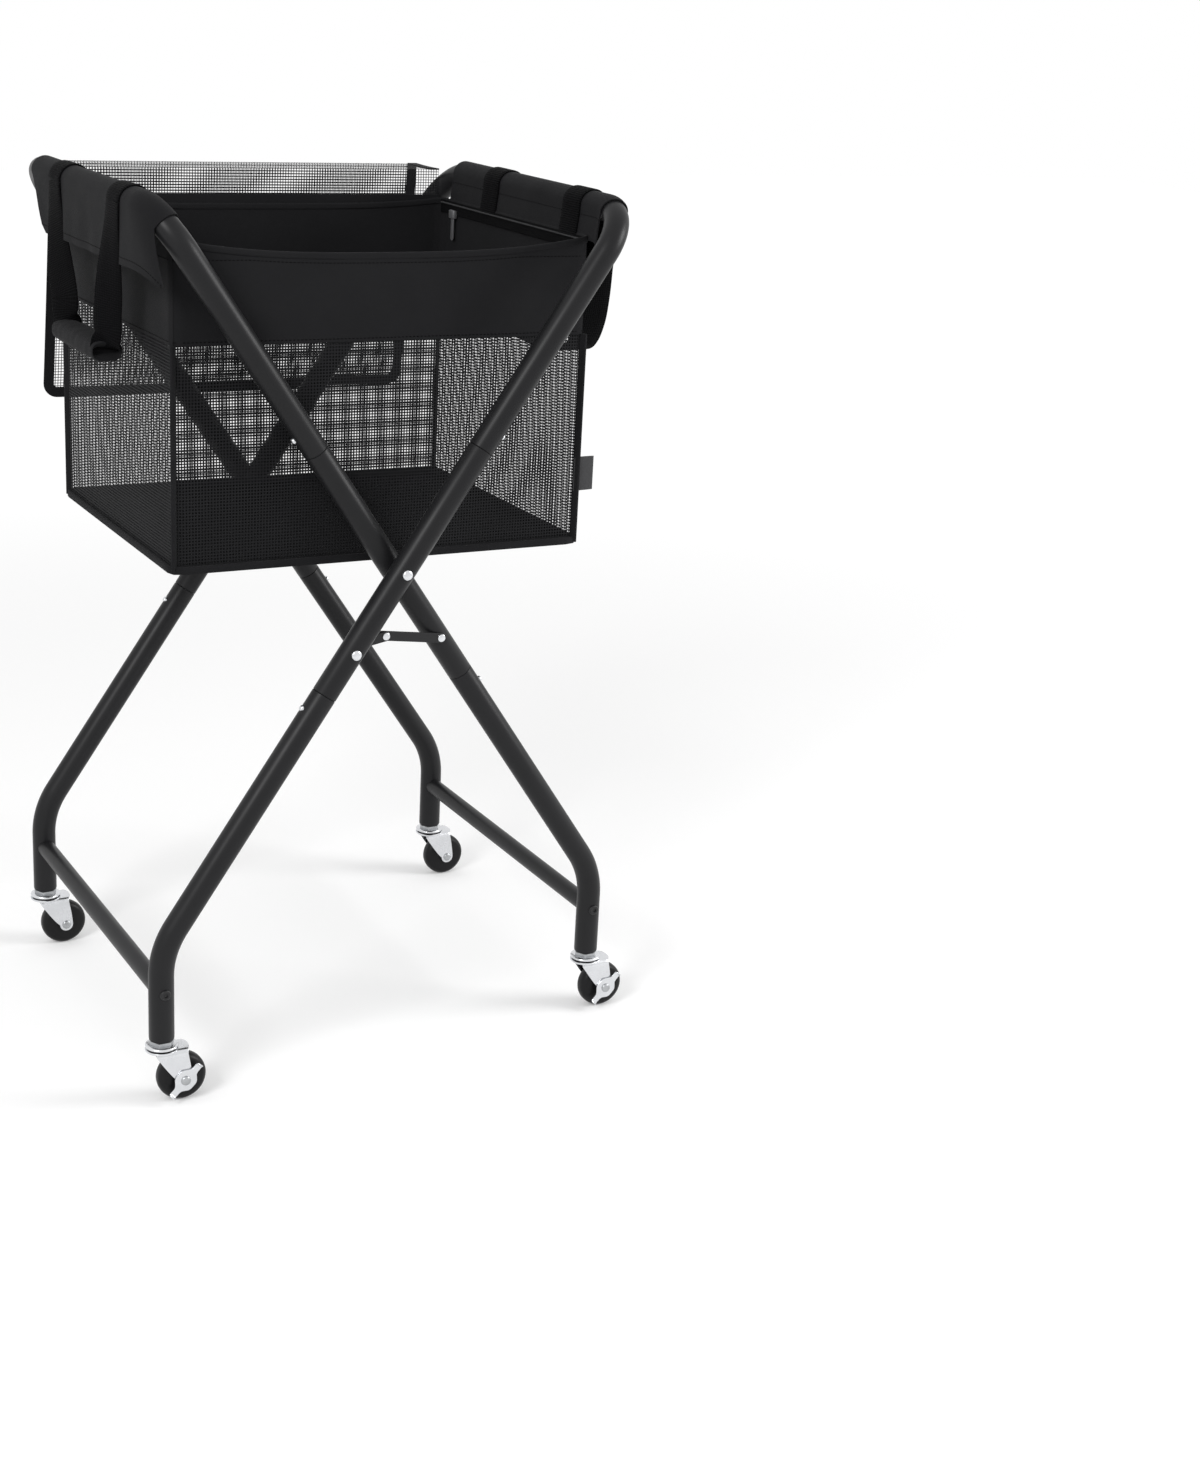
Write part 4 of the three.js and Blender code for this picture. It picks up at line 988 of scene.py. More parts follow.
class CART_OT_casters(bpy.types.Operator):
    """Four swivel casters: stem, fork, wheel and axle, and a brake lever on the front two"""

    bl_idname = "cart.casters"
    bl_label = "Casters"

    def execute(self, context):
        sizes = context.scene.cart_casters
        paints = (bright_zinc(sizes), dull_shaded_zinc(sizes), wheel_rubber(sizes))
        for letter, (side, front, back) in FRAMES.items():
            for place, y in zip(SIDES, (front, back)):
                self.caster(sizes, paints, f"{letter}_{place}", letter, at(-side * FOOT_X, y, 0))
        return {"FINISHED"}

    def caster(self, sizes, paints, key, letter, foot):
        zinc, dull_shaded, rubber = paints
        wheel = foot + Vector((TRAIL, 0, AXLE.z))
        parts = [turned("race_part", RACE, 48), turned("pin_part", PIN)]
        stem = merged(f"caster_stem_{key}_look", [moved(part, foot) for part in parts])
        finish(stem, "frame_" + letter, zinc, "zinc", ["caster_stem_" + key], 35)
        nut = moved(turned(f"caster_nut_{key}", NUT, 6), foot)
        finish(nut, "frame_" + letter, dull_shaded, "zinc", angle=35)
        # Black ring that paints the shade in the gap below the race.
        gap_shade = moved(turned(f"caster_seal_{key}", GAP_SHADE_RING), foot)
        finish(gap_shade, "frame_" + letter, rubber, "wheel")
        parts = [fork_sheet(sizes), turned("crown_part", CROWN, 48)]
        fork = merged(f"caster_fork_{key}_look", [moved(part, foot) for part in parts])
        finish(fork, "fork_" + key, zinc, "zinc", ["caster_fork_" + key], 35)
        rim = sizes.wheel / MM
        half = sizes.width / 2 / MM
        rings = [(0, half - 0.2), (8.2, half - 0.2), (8.7, half - 0.7), (8.9, half - 1.5)]
        rings += [(rim - 16.4, half - 1.5), (rim - 5.6, half - 1.5), (rim - 3.6, half - 2.2)]
        rings += [(rim - 1.6, half - 3.9), (rim - 0.45, half - 6.1), (rim, half - 8.6)]
        profile = [(r, -h) for r, h in rings] + [(r, h) for r, h in reversed(rings)]
        tyre = moved(turned(f"caster_wheel_{key}_look", profile, 72), wheel, Y)
        finish(tyre, "wheel_" + key, rubber, "wheel", ["caster_wheel_" + key], 40)
        braked = key.endswith("front")
        heads = []
        for way, seat in ((-1, LEVER_SEAT if braked else FORK_SEAT), (1, FORK_SEAT)):
            heads.append(moved(dome(4.9 * MM, 2.2 * MM, 0.2 * MM), wheel + Y * way * seat * MM, Y * way))
        shank = moved(turned("shank_part", [(0, -15), (3, -15), (3, 14), (0, 14)]), wheel, Y)
        axle = merged(f"caster_axle_{key}_look", heads + [shank])
        finish(axle, "fork_" + key, dull_shaded, "zinc", ["caster_axle_" + key], 35)
        if braked:
            lever = merged(f"brake_lever_{key}_look", [brake_lever(sizes, wheel)])
            finish(lever, "brake_" + key, zinc, "zinc", ["brake_lever_" + key], 35)


# How far a wall stands out in its middle, and the ripples of the loose mesh.
BULGE = 2.6 * MM
RIPPLE = 0.8 * MM


def wall_point(sizes, side, share, z, out=0.0):
    """Point on the bag's wall. Sides go front, right, back, left; share is -1 to 1 between the corners."""
    across, depth = sizes.half_width, sizes.half_depth
    if side % 2:
        across, depth = depth, across
    flat = across - sizes.corner
    run = abs(share) * (flat + sizes.corner * math.pi / 4)
    turn = max(0.0, run - flat) / sizes.corner
    way = math.copysign(1, share)
    height = (z - FLOOR_Z) / (RIM_Z - FLOOR_Z)
    slack = (1 - abs(share) ** 4) * math.sin(math.pi * min(max(height, 0), 1))
    bulge = BULGE * slack * math.cos(share * math.pi / 2)
    bulge += RIPPLE * slack * math.sin(7 * share + 2 * side) * math.sin(6 * height + side)
    reach = sizes.corner + out + bulge
    u = way * (min(run, flat) + reach * math.sin(turn))
    n = depth - sizes.corner + reach * math.cos(turn)
    x, y = ((u, -n), (n, u), (-u, n), (-n, -u))[side]
    return at(x, y, z)


def rim_height(sizes, side, share):
    """The rim sags at the front and back between the flaps, whose seams hold the rest of it up."""
    lifted = RIM_Z + sizes.lift
    if side == 0:
        return lifted - sizes.sag * (1 - abs(share) ** 3)
    return lifted - sizes.back_sag * (1 - share**4) if side == 2 else lifted


def wall_grid(sizes, side, low, high, rows, columns, out=0.0):
    """Grid of points on one wall between two heights, each a number or a function of the share."""
    grid = []
    for r in range(rows + 1):
        row = []
        for c in range(columns + 1):
            share = -1 + 2 * c / columns
            bottom = low(share) if callable(low) else low
            top = high(share) if callable(high) else high
            row.append(wall_point(sizes, side, share, bottom + (top - bottom) * r / rows, out))
        grid.append(row)
    return grid


def wall_loop(sizes, height, out, sides=(0, 1, 2, 3), steps=48):
    """Centres round the walls and the way each faces; height is a function of side and share."""
    centres, outwards = [], []
    for side in sides:
        for i in range(steps + (len(sides) < 4 and side == sides[-1])):
            share = -1 + 2 * i / steps
            z = height(side, share)
            inner, outer = (wall_point(sizes, side, share, z, o) for o in (out, out + MM))
            centres.append(inner)
            outwards.append((outer - inner).normalized())
    return centres, outwards


# Where the bag's layers meet: the net starts above the floor and ends behind the band, and the band and
# its stitches lie this far outside the wall.
NET_FOOT = 2 * MM
NET_LAP = 3 * MM
BAND_OUT = 0.6 * MM
STITCH_OUT = 1.35 * MM

# Rows of stitches above the band's lower edge and below its upper one, and their least distance from the rim.
LOWER_ROW = 3 * MM
UPPER_ROW = 10 * MM
ROW_BELOW_RIM = 8 * MM

# Bindings: how far below the rim or above the floor they run, how far out, and their width and thickness.
RIM_BINDING = {"down": 1.5 * MM, "out": 0.6 * MM, "size": (7 * MM, 3 * MM)}
FLOOR_BINDING = {"up": 4 * MM, "out": 2.2 * MM, "size": (8 * MM, 4.4 * MM)}


class CART_OT_bag(bpy.types.Operator):
    """Mesh bag with its cloth band, floor, corner piping, bindings and stitches"""

    bl_idname = "cart.bag"
    bl_label = "Mesh bag"

    def execute(self, context):
        sizes = context.scene.cart_bag
        oxford, thread, webbing = woven_cloth(sizes), net_thread(sizes), ribbed_webbing(sizes)
        seam = RIM_Z - sizes.band

        def add(piece, paint, slot, replaces=()):
            crush(finish(piece, "bag", paint, slot, replaces, 60))
            return piece

        for side, word in enumerate(("front", "right", "back", "left")):
            grid = wall_grid(sizes, side, FLOOR_Z + NET_FOOT, seam + NET_LAP, 16, 60)
            wall = net(f"bag_net_{word}", grid, sizes.pitch, sizes.thread, thread)
            add(wall, thread, "bag_mesh")
        walls = []
        for side in range(4):
            top = lambda share, side=side: rim_height(sizes, side, share)
            grid = wall_grid(sizes, side, seam, top, 10, 72, BAND_OUT)
            walls.append(cloth_grid("band_part", grid, sizes.cloth))
        band = add(merged("bag_band", walls), oxford, "oxford", ["bag_body"])
        floor = add(merged("bag_floor", [self.floor(sizes)]), webbing, "webbing")
        piping = add(merged("bag_piping", self.pipes(sizes, seam)), oxford, "oxford")
        rim = lambda side, share: rim_height(sizes, side, share) - RIM_BINDING["down"]
        foot = lambda side, share: FLOOR_Z + FLOOR_BINDING["up"]
        trims = (("bag_rim_binding", rim, RIM_BINDING), ("bag_floor_binding", foot, FLOOR_BINDING))
        for name, height, binding in trims:
            centres, outwards = wall_loop(sizes, height, binding["out"])
            outline = rounded_flat(*binding["size"])
            add(sweep(name, centres, [Z] * len(centres), outwards, outline, closed=True), oxford, "oxford")
        sewn = []
        for row in (seam + LOWER_ROW, seam + (sizes.band - UPPER_ROW)):
            level = lambda side, share, row=row: min(row, rim_height(sizes, side, share) - ROW_BELOW_RIM)
            centres, _ = wall_loop(sizes, level, STITCH_OUT)
            sewn.append(stitches("stitch_row", centres + centres[:1], sizes, webbing))
        add(merged("bag_stitches", sewn), webbing, "webbing")
        return {"FINISHED"}

    def floor(self, sizes):
        rows = []
        for r in range(25):
            y = -1 + r / 12
            inset = max(0, abs(y) * sizes.half_depth - sizes.half_depth + sizes.corner)
            half = sizes.half_width - sizes.corner + math.sqrt(max(0, sizes.corner**2 - inset**2))
            row = []
            for c in range(29):
                x = -1 + c / 14
                sink = 1.5 * MM * (1 - x * x) * (1 - y * y)
                row.append(at(x * half, y * sizes.half_depth, FLOOR_Z + 1.4 * MM - sink))
            rows.append(row)
        return cloth_grid("floor_part", rows, sizes.cloth)

    def pipes(self, sizes, seam):
        """Bound seams that stand out from the upright corners."""
        pipes = []
        outline = rounded_flat(sizes.piping, 3.6 * MM)
        low = FLOOR_Z + NET_FOOT
        for side in range(4):
            heights = [low + (seam - low) * i / 20 for i in range(21)]
            centres = [wall_point(sizes, side, 1, z, sizes.piping * 0.3) for z in heights]
            out = (centres[0] - wall_point(sizes, side, 1, low, 0)).normalized()
            pipes.append(sweep("pipe_part", centres, [out] * 21, None, outline))
        return pipes


# Side flap over a bar: outwards and upwards from the bar's axis, in mm, from the inner seam to the hem.
FLAP_OFF = 14.1
FLAP_DROP = 56
FLAP_IN = [(-17.6, -31.4), (-16.6, -24), (-15.6, -16), (-14.5, -8), (-14.1, -3)]
FLAP_TURNS = [math.pi * i / 16 for i in range(17)]
FLAP_OVER = [(-FLAP_OFF * math.cos(turn), FLAP_OFF * math.sin(turn)) for turn in FLAP_TURNS]
FLAP_OUT = [(14.15, -4), (14.3, -10), (14.5, -18), (14.7, -26), (14.9, -34), (15, -42), (15.1, -49)]
FLAP_OUT.append((15.1, -FLAP_DROP))
BAND_SEATS = {"left": (-105, 84), "right": (-128, 55)}
SIDE_SIGN = {"left": -1, "right": 1}
BAR_OF = {"left": "a", "right": "b"}

# Ends of each flap along its bar, counted round the front bend, how much its hem is shorter at the back,
# how far the hem's front corner hangs forwards and outwards, and how far along the hem that reaches, in mm.
FLAP_ENDS = {"left": (-186, 170), "right": (-191, 153)}
FLAP_TAPER = {"left": 52, "right": 14}
FLAP_CORNER = {"left": (24, -4), "right": (-20, -4)}
FLAP_CORNER_REACH = 34

# Waves of the hanging cloth: the height of each, its length per radian and where it starts. Then the flare
# at the back end with its reach along the hem, and the radius of the hem's corners, in mm.
FLAP_WAVES = [(0.7, 17, 0), (0.5, 7.3, 1)]
FLAP_BACK_FLARE, FLAP_BACK_REACH = 3, 20
FLAP_ROUND = 10


def beside_bar(word, outwards, y, upwards):
    """Point set off from the axis of a top bar, in mm."""
    sign = SIDE_SIGN[word]
    return at(sign * (BAR_X + outwards * MM), y * MM, BAR_Z + upwards * MM)


def round_bend(word, outwards, y, upwards, bend):
    """The same point carried round the bar's front bend, where y counts along the bar."""
    side, front, _ = FRAMES[BAR_OF[word]]
    past = front + bend - y * MM
    if past <= 0:
        return beside_bar(word, outwards, y, upwards)
    turn = past / bend
    up_leg, normal = Vector((side * UP.x, 0, UP.z)), Vector((side * UP.z, 0, -UP.x))
    across = outwards * UP.z - upwards * UP.x
    lift = outwards * UP.x + upwards * UP.z
    centre = at(side * BAR_X, front + bend, BAR_Z) - up_leg * bend
    way = up_leg * math.cos(turn) - Y * math.sin(turn)
    return centre + normal * across * MM + way * (bend + lift * MM)


def on_flap(word, outwards, y, upwards, bend):
    """Point of cloth that is rolled over the bar, and hangs straight down on either side of it."""
    if upwards >= 0:
        return round_bend(word, outwards, y, upwards, bend)
    edge = math.copysign(FLAP_OFF, outwards)
    hang = Vector((SIDE_SIGN[word] * (outwards - edge), 0, upwards)) * MM
    return round_bend(word, edge, y, 0, bend) + hang


def flap_grid(word, bend, columns=84):
    first, last = FLAP_ENDS[word]
    forwards, sideways = FLAP_CORNER[word]
    rows = []
    for outwards, upwards in FLAP_IN + FLAP_OVER[1:] + FLAP_OUT:
        depth = max(-upwards / FLAP_DROP, 0) if outwards > 0 else 0
        past = max(0, FLAP_ROUND - FLAP_DROP - upwards) if depth else 0
        inset = FLAP_ROUND - math.sqrt(FLAP_ROUND**2 - min(past, FLAP_ROUND) ** 2)
        start, end = first + inset, last - inset - FLAP_TAPER[word] * depth
        row = []
        for c in range(columns + 1):
            y = start + (end - start) * c / columns
            wave = sum(size * math.sin(y / reach + start_at) for size, reach, start_at in FLAP_WAVES)
            near = math.exp(-(((y - first) / FLAP_CORNER_REACH) ** 2))
            flare = sideways * near + FLAP_BACK_FLARE * math.exp(-(((end - y) / FLAP_BACK_REACH) ** 2))
            point = on_flap(word, outwards + depth * (wave + flare * depth), y, upwards, bend)
            row.append(point - Y * forwards * MM * depth**1.3 * near)
        rows.append(row)
    return rows


def ribbon_path(word, y, path, lift):
    """Path of webbing that lies this far outside a path beside the bar."""
    points = [Vector(p) for p in path]
    spots = []
    for i, point in enumerate(points):
        way = (points[min(i + 1, len(points) - 1)] - points[max(i - 1, 0)]).normalized()
        spots.append(point + Vector((-way.y, way.x)) * lift)
    return [beside_bar(word, p.x, y, p.y) for p in spots]


def path_length(path):
    return sum(math.dist(a, b) for a, b in zip(path, path[1:])) * MM


class CART_OT_flaps(bpy.types.Operator):
    """Cloth flaps that hook over the top bars, with their webbing bands"""

    bl_idname = "cart.flaps"
    bl_label = "Side flaps"

    def execute(self, context):
        sizes, handles = context.scene.cart_bag, context.scene.cart_handles
        bend = context.scene.cart_tubes.bar_bend
        oxford, webbing = woven_cloth(sizes), ribbed_webbing(sizes)
        outline = rounded_flat(handles.width, handles.thick)
        for word, (first, last) in FLAP_ENDS.items():
            move = carry if word == "left" else lambda piece: piece
            rows = flap_grid(word, bend)
            flap = merged(f"side_flap_{word}_look", [cloth_grid("flap_part", rows, sizes.flap)])
            move(finish(flap, "bag", oxford, "oxford", ["side_flap_" + word], 60))
            bands = []
            path = [(-18, -33)] + FLAP_IN[1:] + FLAP_OVER[1:]
            for y in BAND_SEATS[word]:
                centres = ribbon_path(word, y, path, 1.65)
                bands.append(sweep("band_part", centres, [Y] * len(centres), None, outline))
            band = move(finish(merged(f"flap_webbing_{word}", bands), "bag", webbing, "webbing"))
            sewn = []
            for row, lift in ((-2, 0.8 * MM), (3, -0.8 * MM)):
                line = [point + X * SIDE_SIGN[word] * lift for point in rows[row]]
                sewn.append(stitches("stitch_row", line, sizes, webbing))
            sewn = move(finish(merged(f"flap_stitches_{word}", sewn), "bag", webbing, "webbing"))
            flat = ((last - first) * MM, path_length(path + FLAP_OUT))
        return {"FINISHED"}


def smooth(value, low, high):
    share = min(max((value - low) / (high - low), 0), 1)
    return share * share * (3 - 2 * share)


def curve_through(points, steps):
    """Smooth path through a few points of any dimension."""
    points = np.array(points, float)
    ends = np.vstack([2 * points[0] - points[1], points, 2 * points[-1] - points[-2]])
    path = []
    for i in range(len(points) - 1):
        a, b, c, d = ends[i : i + 4]
        second, third = 2 * a - 5 * b + 4 * c - d, 3 * b - a - 3 * c + d
        for k in range(steps):
            t = k / steps
            path.append(0.5 * (2 * b + (c - a) * t + second * t**2 + third * t**3))
    return np.array(path + [points[-1]])


def strap(name, word, points, twist, sizes, narrow=lambda share: 1.0):
    """Hanging webbing through (outwards, y, up) points in mm, which twist turns and narrow tapers."""
    path = curve_through(points, 8)
    centres = [beside_bar(word, *p) for p in path]
    count = len(centres) - 1
    across, outlines = [], []
    for i, way in enumerate(tangents(centres)):
        turn = math.radians(twist(i / count))
        flat = X.cross(way).normalized()
        across.append((flat * math.cos(turn) + X * math.sin(turn)).normalized())
        outlines.append(rounded_flat(sizes.width * narrow(i / count), sizes.thick))
    return sweep(name, centres, across, None, outlines)


# Right loop, as (outwards, y, up) in mm from the bar's axis, from its front end round to its back end.
RIGHT_LOOP = [(15.8, -128, 0), (16.8, -129, -22), (17.4, -130, -46), (17, -129, -74), (16.4, -127, -98)]
RIGHT_LOOP += [(16.2, -121, -122), (16.2, -107, -144), (16.2, -86, -155), (16.2, -36, -159), (16.2, 13, -155)]
RIGHT_LOOP += [(16.2, 34, -144), (16.2, 48, -122), (16.4, 53, -98), (17, 55, -74), (17.2, 55, -46)]
RIGHT_LOOP += [(16.8, 55, -22), (15.8, 55, 0)]

# Middle of the grip along the bar, its drop and how far out it hangs, in mm from the bar's axis.
GRIP_MIDDLE = -28
GRIP_DROP = -141
GRIP_OUT = 20

# A left strap down to the grip's mouth: outwards and up in mm, and the share of its way along the bar.
STRAP_DROP_SHARES = [(15.8, 0, 0), (17, 0.12, -24), (18.4, 0.34, -52), (19.4, 0.66, -82)]
STRAP_DROP_SHARES += [(GRIP_OUT, 1, -108), (GRIP_OUT, 1, -121)]

# The strap's turn into the grip: from the mouth inwards, and up, in mm.
STRAP_TURN = [(-1, -130), (3, -136), (9, -139.5), (20, GRIP_DROP)]


class CART_OT_handles(bpy.types.Operator):
    """Hanging webbing loops, and the padded grip on the left one"""

    bl_idname = "cart.handles"
    bl_label = "Handles"

    def execute(self, context):
        sizes, bag = context.scene.cart_handles, context.scene.cart_bag
        webbing = ribbed_webbing(bag)
        twist = lambda share: -90 * smooth(0.5 - abs(share - 0.5), 0.02, 0.17)
        loop = strap("handle_right_look", "right", RIGHT_LOOP, twist, sizes)
        finish(loop, "handle_right", webbing, "webbing", ["handle_right"], 60)
        crush(loop)
        flat = (sizes.width, path_length(RIGHT_LOOP))
        half = sizes.grip_length / 2 / MM
        ends = []
        for way, top in ((-1, BAND_SEATS["left"][0]), (1, BAND_SEATS["left"][1])):
            mouth = GRIP_MIDDLE + way * half
            low = mouth + way * 3
            points = [(out, top + (low - top) * share, up) for out, share, up in STRAP_DROP_SHARES]
            points += [(GRIP_OUT, mouth - way * inwards, up) for inwards, up in STRAP_TURN]
            turn = lambda share: -26 * smooth(share, 0.03, 0.4) - 64 * smooth(share, 0.62, 0.86)
            narrow = lambda share: 1 - 0.2 * smooth(share, 0.5, 0.78)
            ends.append(strap("strap_part", "left", points, turn, sizes, narrow))
        straps = merged("handle_left_look", ends)
        carry(finish(straps, "handle_left", webbing, "webbing", ["handle_left"], 60))
        flat = (sizes.width, 2 * path_length(points))
        self.grip(sizes, bag, half)
        return {"FINISHED"}

    def grip(self, sizes, bag, half):
        """Padded sleeve, open at both ends."""
        steps = 56
        mouth = [(9, 0.86, 0.3), (2.5, 0.88, 0.5), (0.4, 0.93, 0.75), (0, 0.97, 0.9), (0.8, 0.99, 0.98)]
        places = [(inset - half, wide, high) for inset, wide, high in mouth]
        places += [(-half + 2 + (2 * half - 4) * i / steps, 1.0, 1.0) for i in range(steps + 1)]
        places += [(half - inset, wide, high) for inset, wide, high in reversed(mouth)]
        centres, outlines = [], []
        for y, wide, high in places:
            outline = []
            for k in range(32):
                angle = TURN * k / 32
                c, s = math.cos(angle), math.sin(angle)
                fold = 0.014 * math.sin(y / 6.3 + 2 * s) * math.sin(y / 23 + c)
                fold += 0.01 * math.sin(y / 2.7 + 3 * c) * math.sin(y / 15 + 2)
                full = (1 - 0.05 * (y / half) ** 4) * (1 + fold)
                a = math.copysign(abs(c) ** 0.7, c) * sizes.grip_width / 2 * wide * full
                b = math.copysign(abs(s) ** 0.7, s) * sizes.grip_height / 2 * high * full
                outline.append((a, b))
            centres.append(beside_bar("left", GRIP_OUT, GRIP_MIDDLE + y, GRIP_DROP))
            outlines.append(outline)
        count = len(centres)
        grip = sweep("handle_grip_look", centres, [-X] * count, [Z] * count, outlines)
        carry(finish(grip, "handle_left", woven_cloth(bag), "grip_fabric", ["handle_grip"], 60))


# How the open lid hangs: the shelf's slack between the bars, then the hanging panel's ripple, the sway of
# its hem, how far the hem drifts to the left, and how far it reaches below the solid panel.
SHELF_SLACK = 2.2 * MM
LID_RIPPLE = 1.4 * MM
LID_SWAY = 3 * MM
LID_DRIFT = 10 * MM
HEM_BELOW = 6 * MM


def border_paths(width, length, border, start, end):
    """Middle lines, as (across, along), of the cloth borders of a lid panel."""
    half = width / 2 - border / 2
    if start:
        return [[(-width / 2 + width * i / 48, border / 2) for i in range(49)]]
    if not end:
        return [[(side * half, length * i / 16) for i in range(17)] for side in (-1, 1)]
    round_off, low = border * 0.9, length - border / 2
    path = [(-half, (low - round_off) * i / 24) for i in range(24)]
    for side in (-1, 1):
        arc = []
        for i in range(9):
            turn = math.pi / 2 * i / 8
            across = half - round_off * (1 - math.cos(turn))
            arc.append((side * across, low - round_off * (1 - math.sin(turn))))
        path += arc if side < 0 else arc[::-1]
        if side < 0:
            path += [(u, low) for u in np.linspace(round_off - half, half - round_off, 50)[1:-1]]
    path += [(half, (low - round_off) * i / 24) for i in reversed(range(24))]
    return [path]


def border_strip(path, border, point):
    """Cloth strip along a path on a panel; point gives the place of (across, along)."""
    flat = [Vector((u, v, 0)) for u, v in path]
    rows = []
    for spot, way in zip(flat, tangents(flat)):
        sideways = Vector((-way.y, way.x, 0))
        row = [spot + sideways * border * share for share in (-0.5, -0.17, 0.17, 0.5)]
        rows.append([point(p.x, p.y) for p in row])
    return cloth_grid("strip_part", rows, 1.6 * MM)


class CART_OT_lid(bpy.types.Operator):
    """Mesh lid thrown open over the back of the frame, in three panels that hinge on each other"""

    bl_idname = "cart.lid"
    bl_label = "Lid"

    def execute(self, context):
        sizes = context.scene.cart_bag
        cloth, thread = woven_cloth(sizes), net_thread(sizes)
        riser_low, riser_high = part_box("lid_riser")
        hang_low, hang_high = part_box("lid_panel")
        y0, z0 = (riser_low.y + riser_high.y) / 2, riser_low.z + 0.8 * MM
        y1, z1 = (hang_low.y + hang_high.y) / 2, hang_high.z - 0.8 * MM
        middle, width = (riser_low.x + riser_high.x) / 2, riser_high.x - riser_low.x
        rise, reach, drop = z1 - z0, y1 - y0, z1 - hang_low.z + HEM_BELOW

        def riser(u, v):
            return Vector((middle + u, y0, z0 + v))

        def shelf(u, v):
            slack = SHELF_SLACK * math.sin(math.pi * min(max(v / reach, 0), 1))
            return Vector((middle + u, y0 + v, z1 - slack * (0.6 + 0.4 * math.sin(u * 23))))

        def hanging(u, v):
            fall = v / drop
            sway = LID_RIPPLE * math.sin(u * 31 + 1) * math.sin(math.pi * min(fall, 1))
            sway += LID_SWAY * fall**2 * math.sin(u * 14)
            drift = LID_DRIFT * fall**1.3
            return Vector((middle + u - drift, y1 + sway + drift * 0.8, z1 - v))

        panels = {"lid_riser": (riser, rise, True, False), "lid_shelf": (shelf, reach, False, False)}
        panels["lid_panel"] = (hanging, drop, False, True)
        for name, (point, length, start, end) in panels.items():
            border = sizes.lid_border
            lap = border - 2 * MM
            rows, columns = 10, 48
            first, last = (lap if start else 0), (length - lap if end else length)
            grid = []
            for r in range(rows + 1):
                v = first + (last - first) * r / rows
                reach_out = width / 2 - (0 if start else lap)
                us = [reach_out * (2 * c / columns - 1) for c in range(columns + 1)]
                grid.append([point(u, v) for u in us])
            mesh_part = net(name + "_net", grid, sizes.pitch, sizes.lid_thread, thread)
            crush(finish(mesh_part, name, thread, "bag_mesh", angle=60))
            paths = border_paths(width, length, border, start, end)
            strips = merged(name + "_border", [border_strip(path, border, point) for path in paths])
            crush(finish(strips, name, cloth, "oxford", [name], 60))
            sewn = sum(path_length(path) for path in paths) / MM
        return {"FINISHED"}


# How far below the rim and inside the wall the zip runs, its tape's width and thickness, and the step from
# one tooth to the next.
ZIP_BELOW_RIM = 7 * MM
ZIP_INSIDE = 1.2 * MM
TAPE = (14 * MM, 0.9 * MM)
TOOTH_STEP = 2.2 * MM


class CART_OT_zip(bpy.types.Operator):
    """Zip along the rim, its two sliders with their pulls, and the blank tab in the seam"""

    bl_idname = "cart.zip"
    bl_label = "Zip and tab"

    def execute(self, context):
        sizes = context.scene.cart_bag
        webbing, metal, grey = ribbed_webbing(sizes), zip_metal(sizes), plain_label(sizes)
        level = lambda side, share: rim_height(sizes, side, share) - ZIP_BELOW_RIM
        centres, outwards = wall_loop(sizes, level, -ZIP_INSIDE, sides=(3, 0, 1))
        wide, thin = TAPE
        tape = sweep("zip_tape", centres, [Z] * len(centres), outwards, rounded_flat(wide, thin))
        crush(finish(tape, "bag", webbing, "webbing"))
        path = [centre - out * 1.1 * MM + Z * 4 * MM for centre, out in zip(centres, outwards)]
        spots = [(spot, way.cross(Z)) for spot, way in spots_along(path, TOOTH_STEP)]
        half, thick = 1.3 * MM, 0.8 * MM
        profile = [(0, -half), (thick, -half * 0.7), (thick, half * 0.7), (0, half)]
        teeth = parts_on("zip_teeth", lathe("tooth_part", profile, 6), spots, grey)
        crush(finish(teeth, "bag", grey, "zip"))
        flat = (wide, path_length(centres) / MM)
        for word in SIDE_SIGN:
            slider = merged(f"zip_slider_{word}_look", self.slider(*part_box("zip_slider_" + word)))
            crush(finish(slider, "zip_" + word, metal, "zip", ["zip_slider_" + word]))
        self.tab(sizes, grey)
        return {"FINISHED"}

    def slider(self, low, high):
        """Slider body and its pull, made facing forwards and then turned to the side wall."""
        middle = (low + high) / 2
        body_low = high.z - 9 * MM
        outline = [(-low.y, high.z), (-high.y, high.z), (-high.y, body_low), (-low.y, body_low)]
        body = plate("slider_part", outline, low.x, high.x, MM)
        half = 3 * MM
        tab = capsule(Vector((0, 0, body_low)), Vector((0, 0, low.z + half)), half)
        outline = [(x - middle.y, z) for x, z in tab]
        pull = plate("pull_part", outline, middle.x - 0.8 * MM, middle.x + 0.8 * MM, 0.3 * MM)
        for part in (body, pull):
            part.data.transform(Matrix.Rotation(-math.pi / 2, 4, "Z"))
        return [body, pull]

    def tab(self, sizes, paint):
        """Blank loop of cloth that is caught in the front right seam and stands out to the side."""
        low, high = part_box("seam_tab")
        root = wall_point(sizes, 1, -1, (low.z + high.z) / 2, 1.2 * MM)
        reach = high.x - low.x + 8 * MM
        rows = []
        for r in range(9):
            z = low.z + (high.z - low.z) * r / 8
            row = []
            for c in range(17):
                turn = math.pi * c / 16
                out = math.sin(turn) ** 0.6
                x = root.x - 2 * MM + (reach + 2 * MM) * out
                row.append(Vector((x, root.y + 1.1 * MM * math.cos(turn) + 2 * MM * out, z)))
            rows.append(row)
        tab = merged("seam_tab_look", [cloth_grid("tab_part", rows, 0.6 * MM)])
        crush(finish(tab, "bag", paint, "label", ["seam_tab"], 60))


# Places and sizes of the two lamps, in metres, and the height of the point that they look at.
SOFTBOX_PLACE, SOFTBOX_SIZE = (-2.35, -1.6, 2.3), 1.2
SIDE_LAMP_PLACE, SIDE_LAMP_SIZE = (2.5, -1.3, 1.5), 1.4
LAMP_AIM = (0, 0, 0.45)

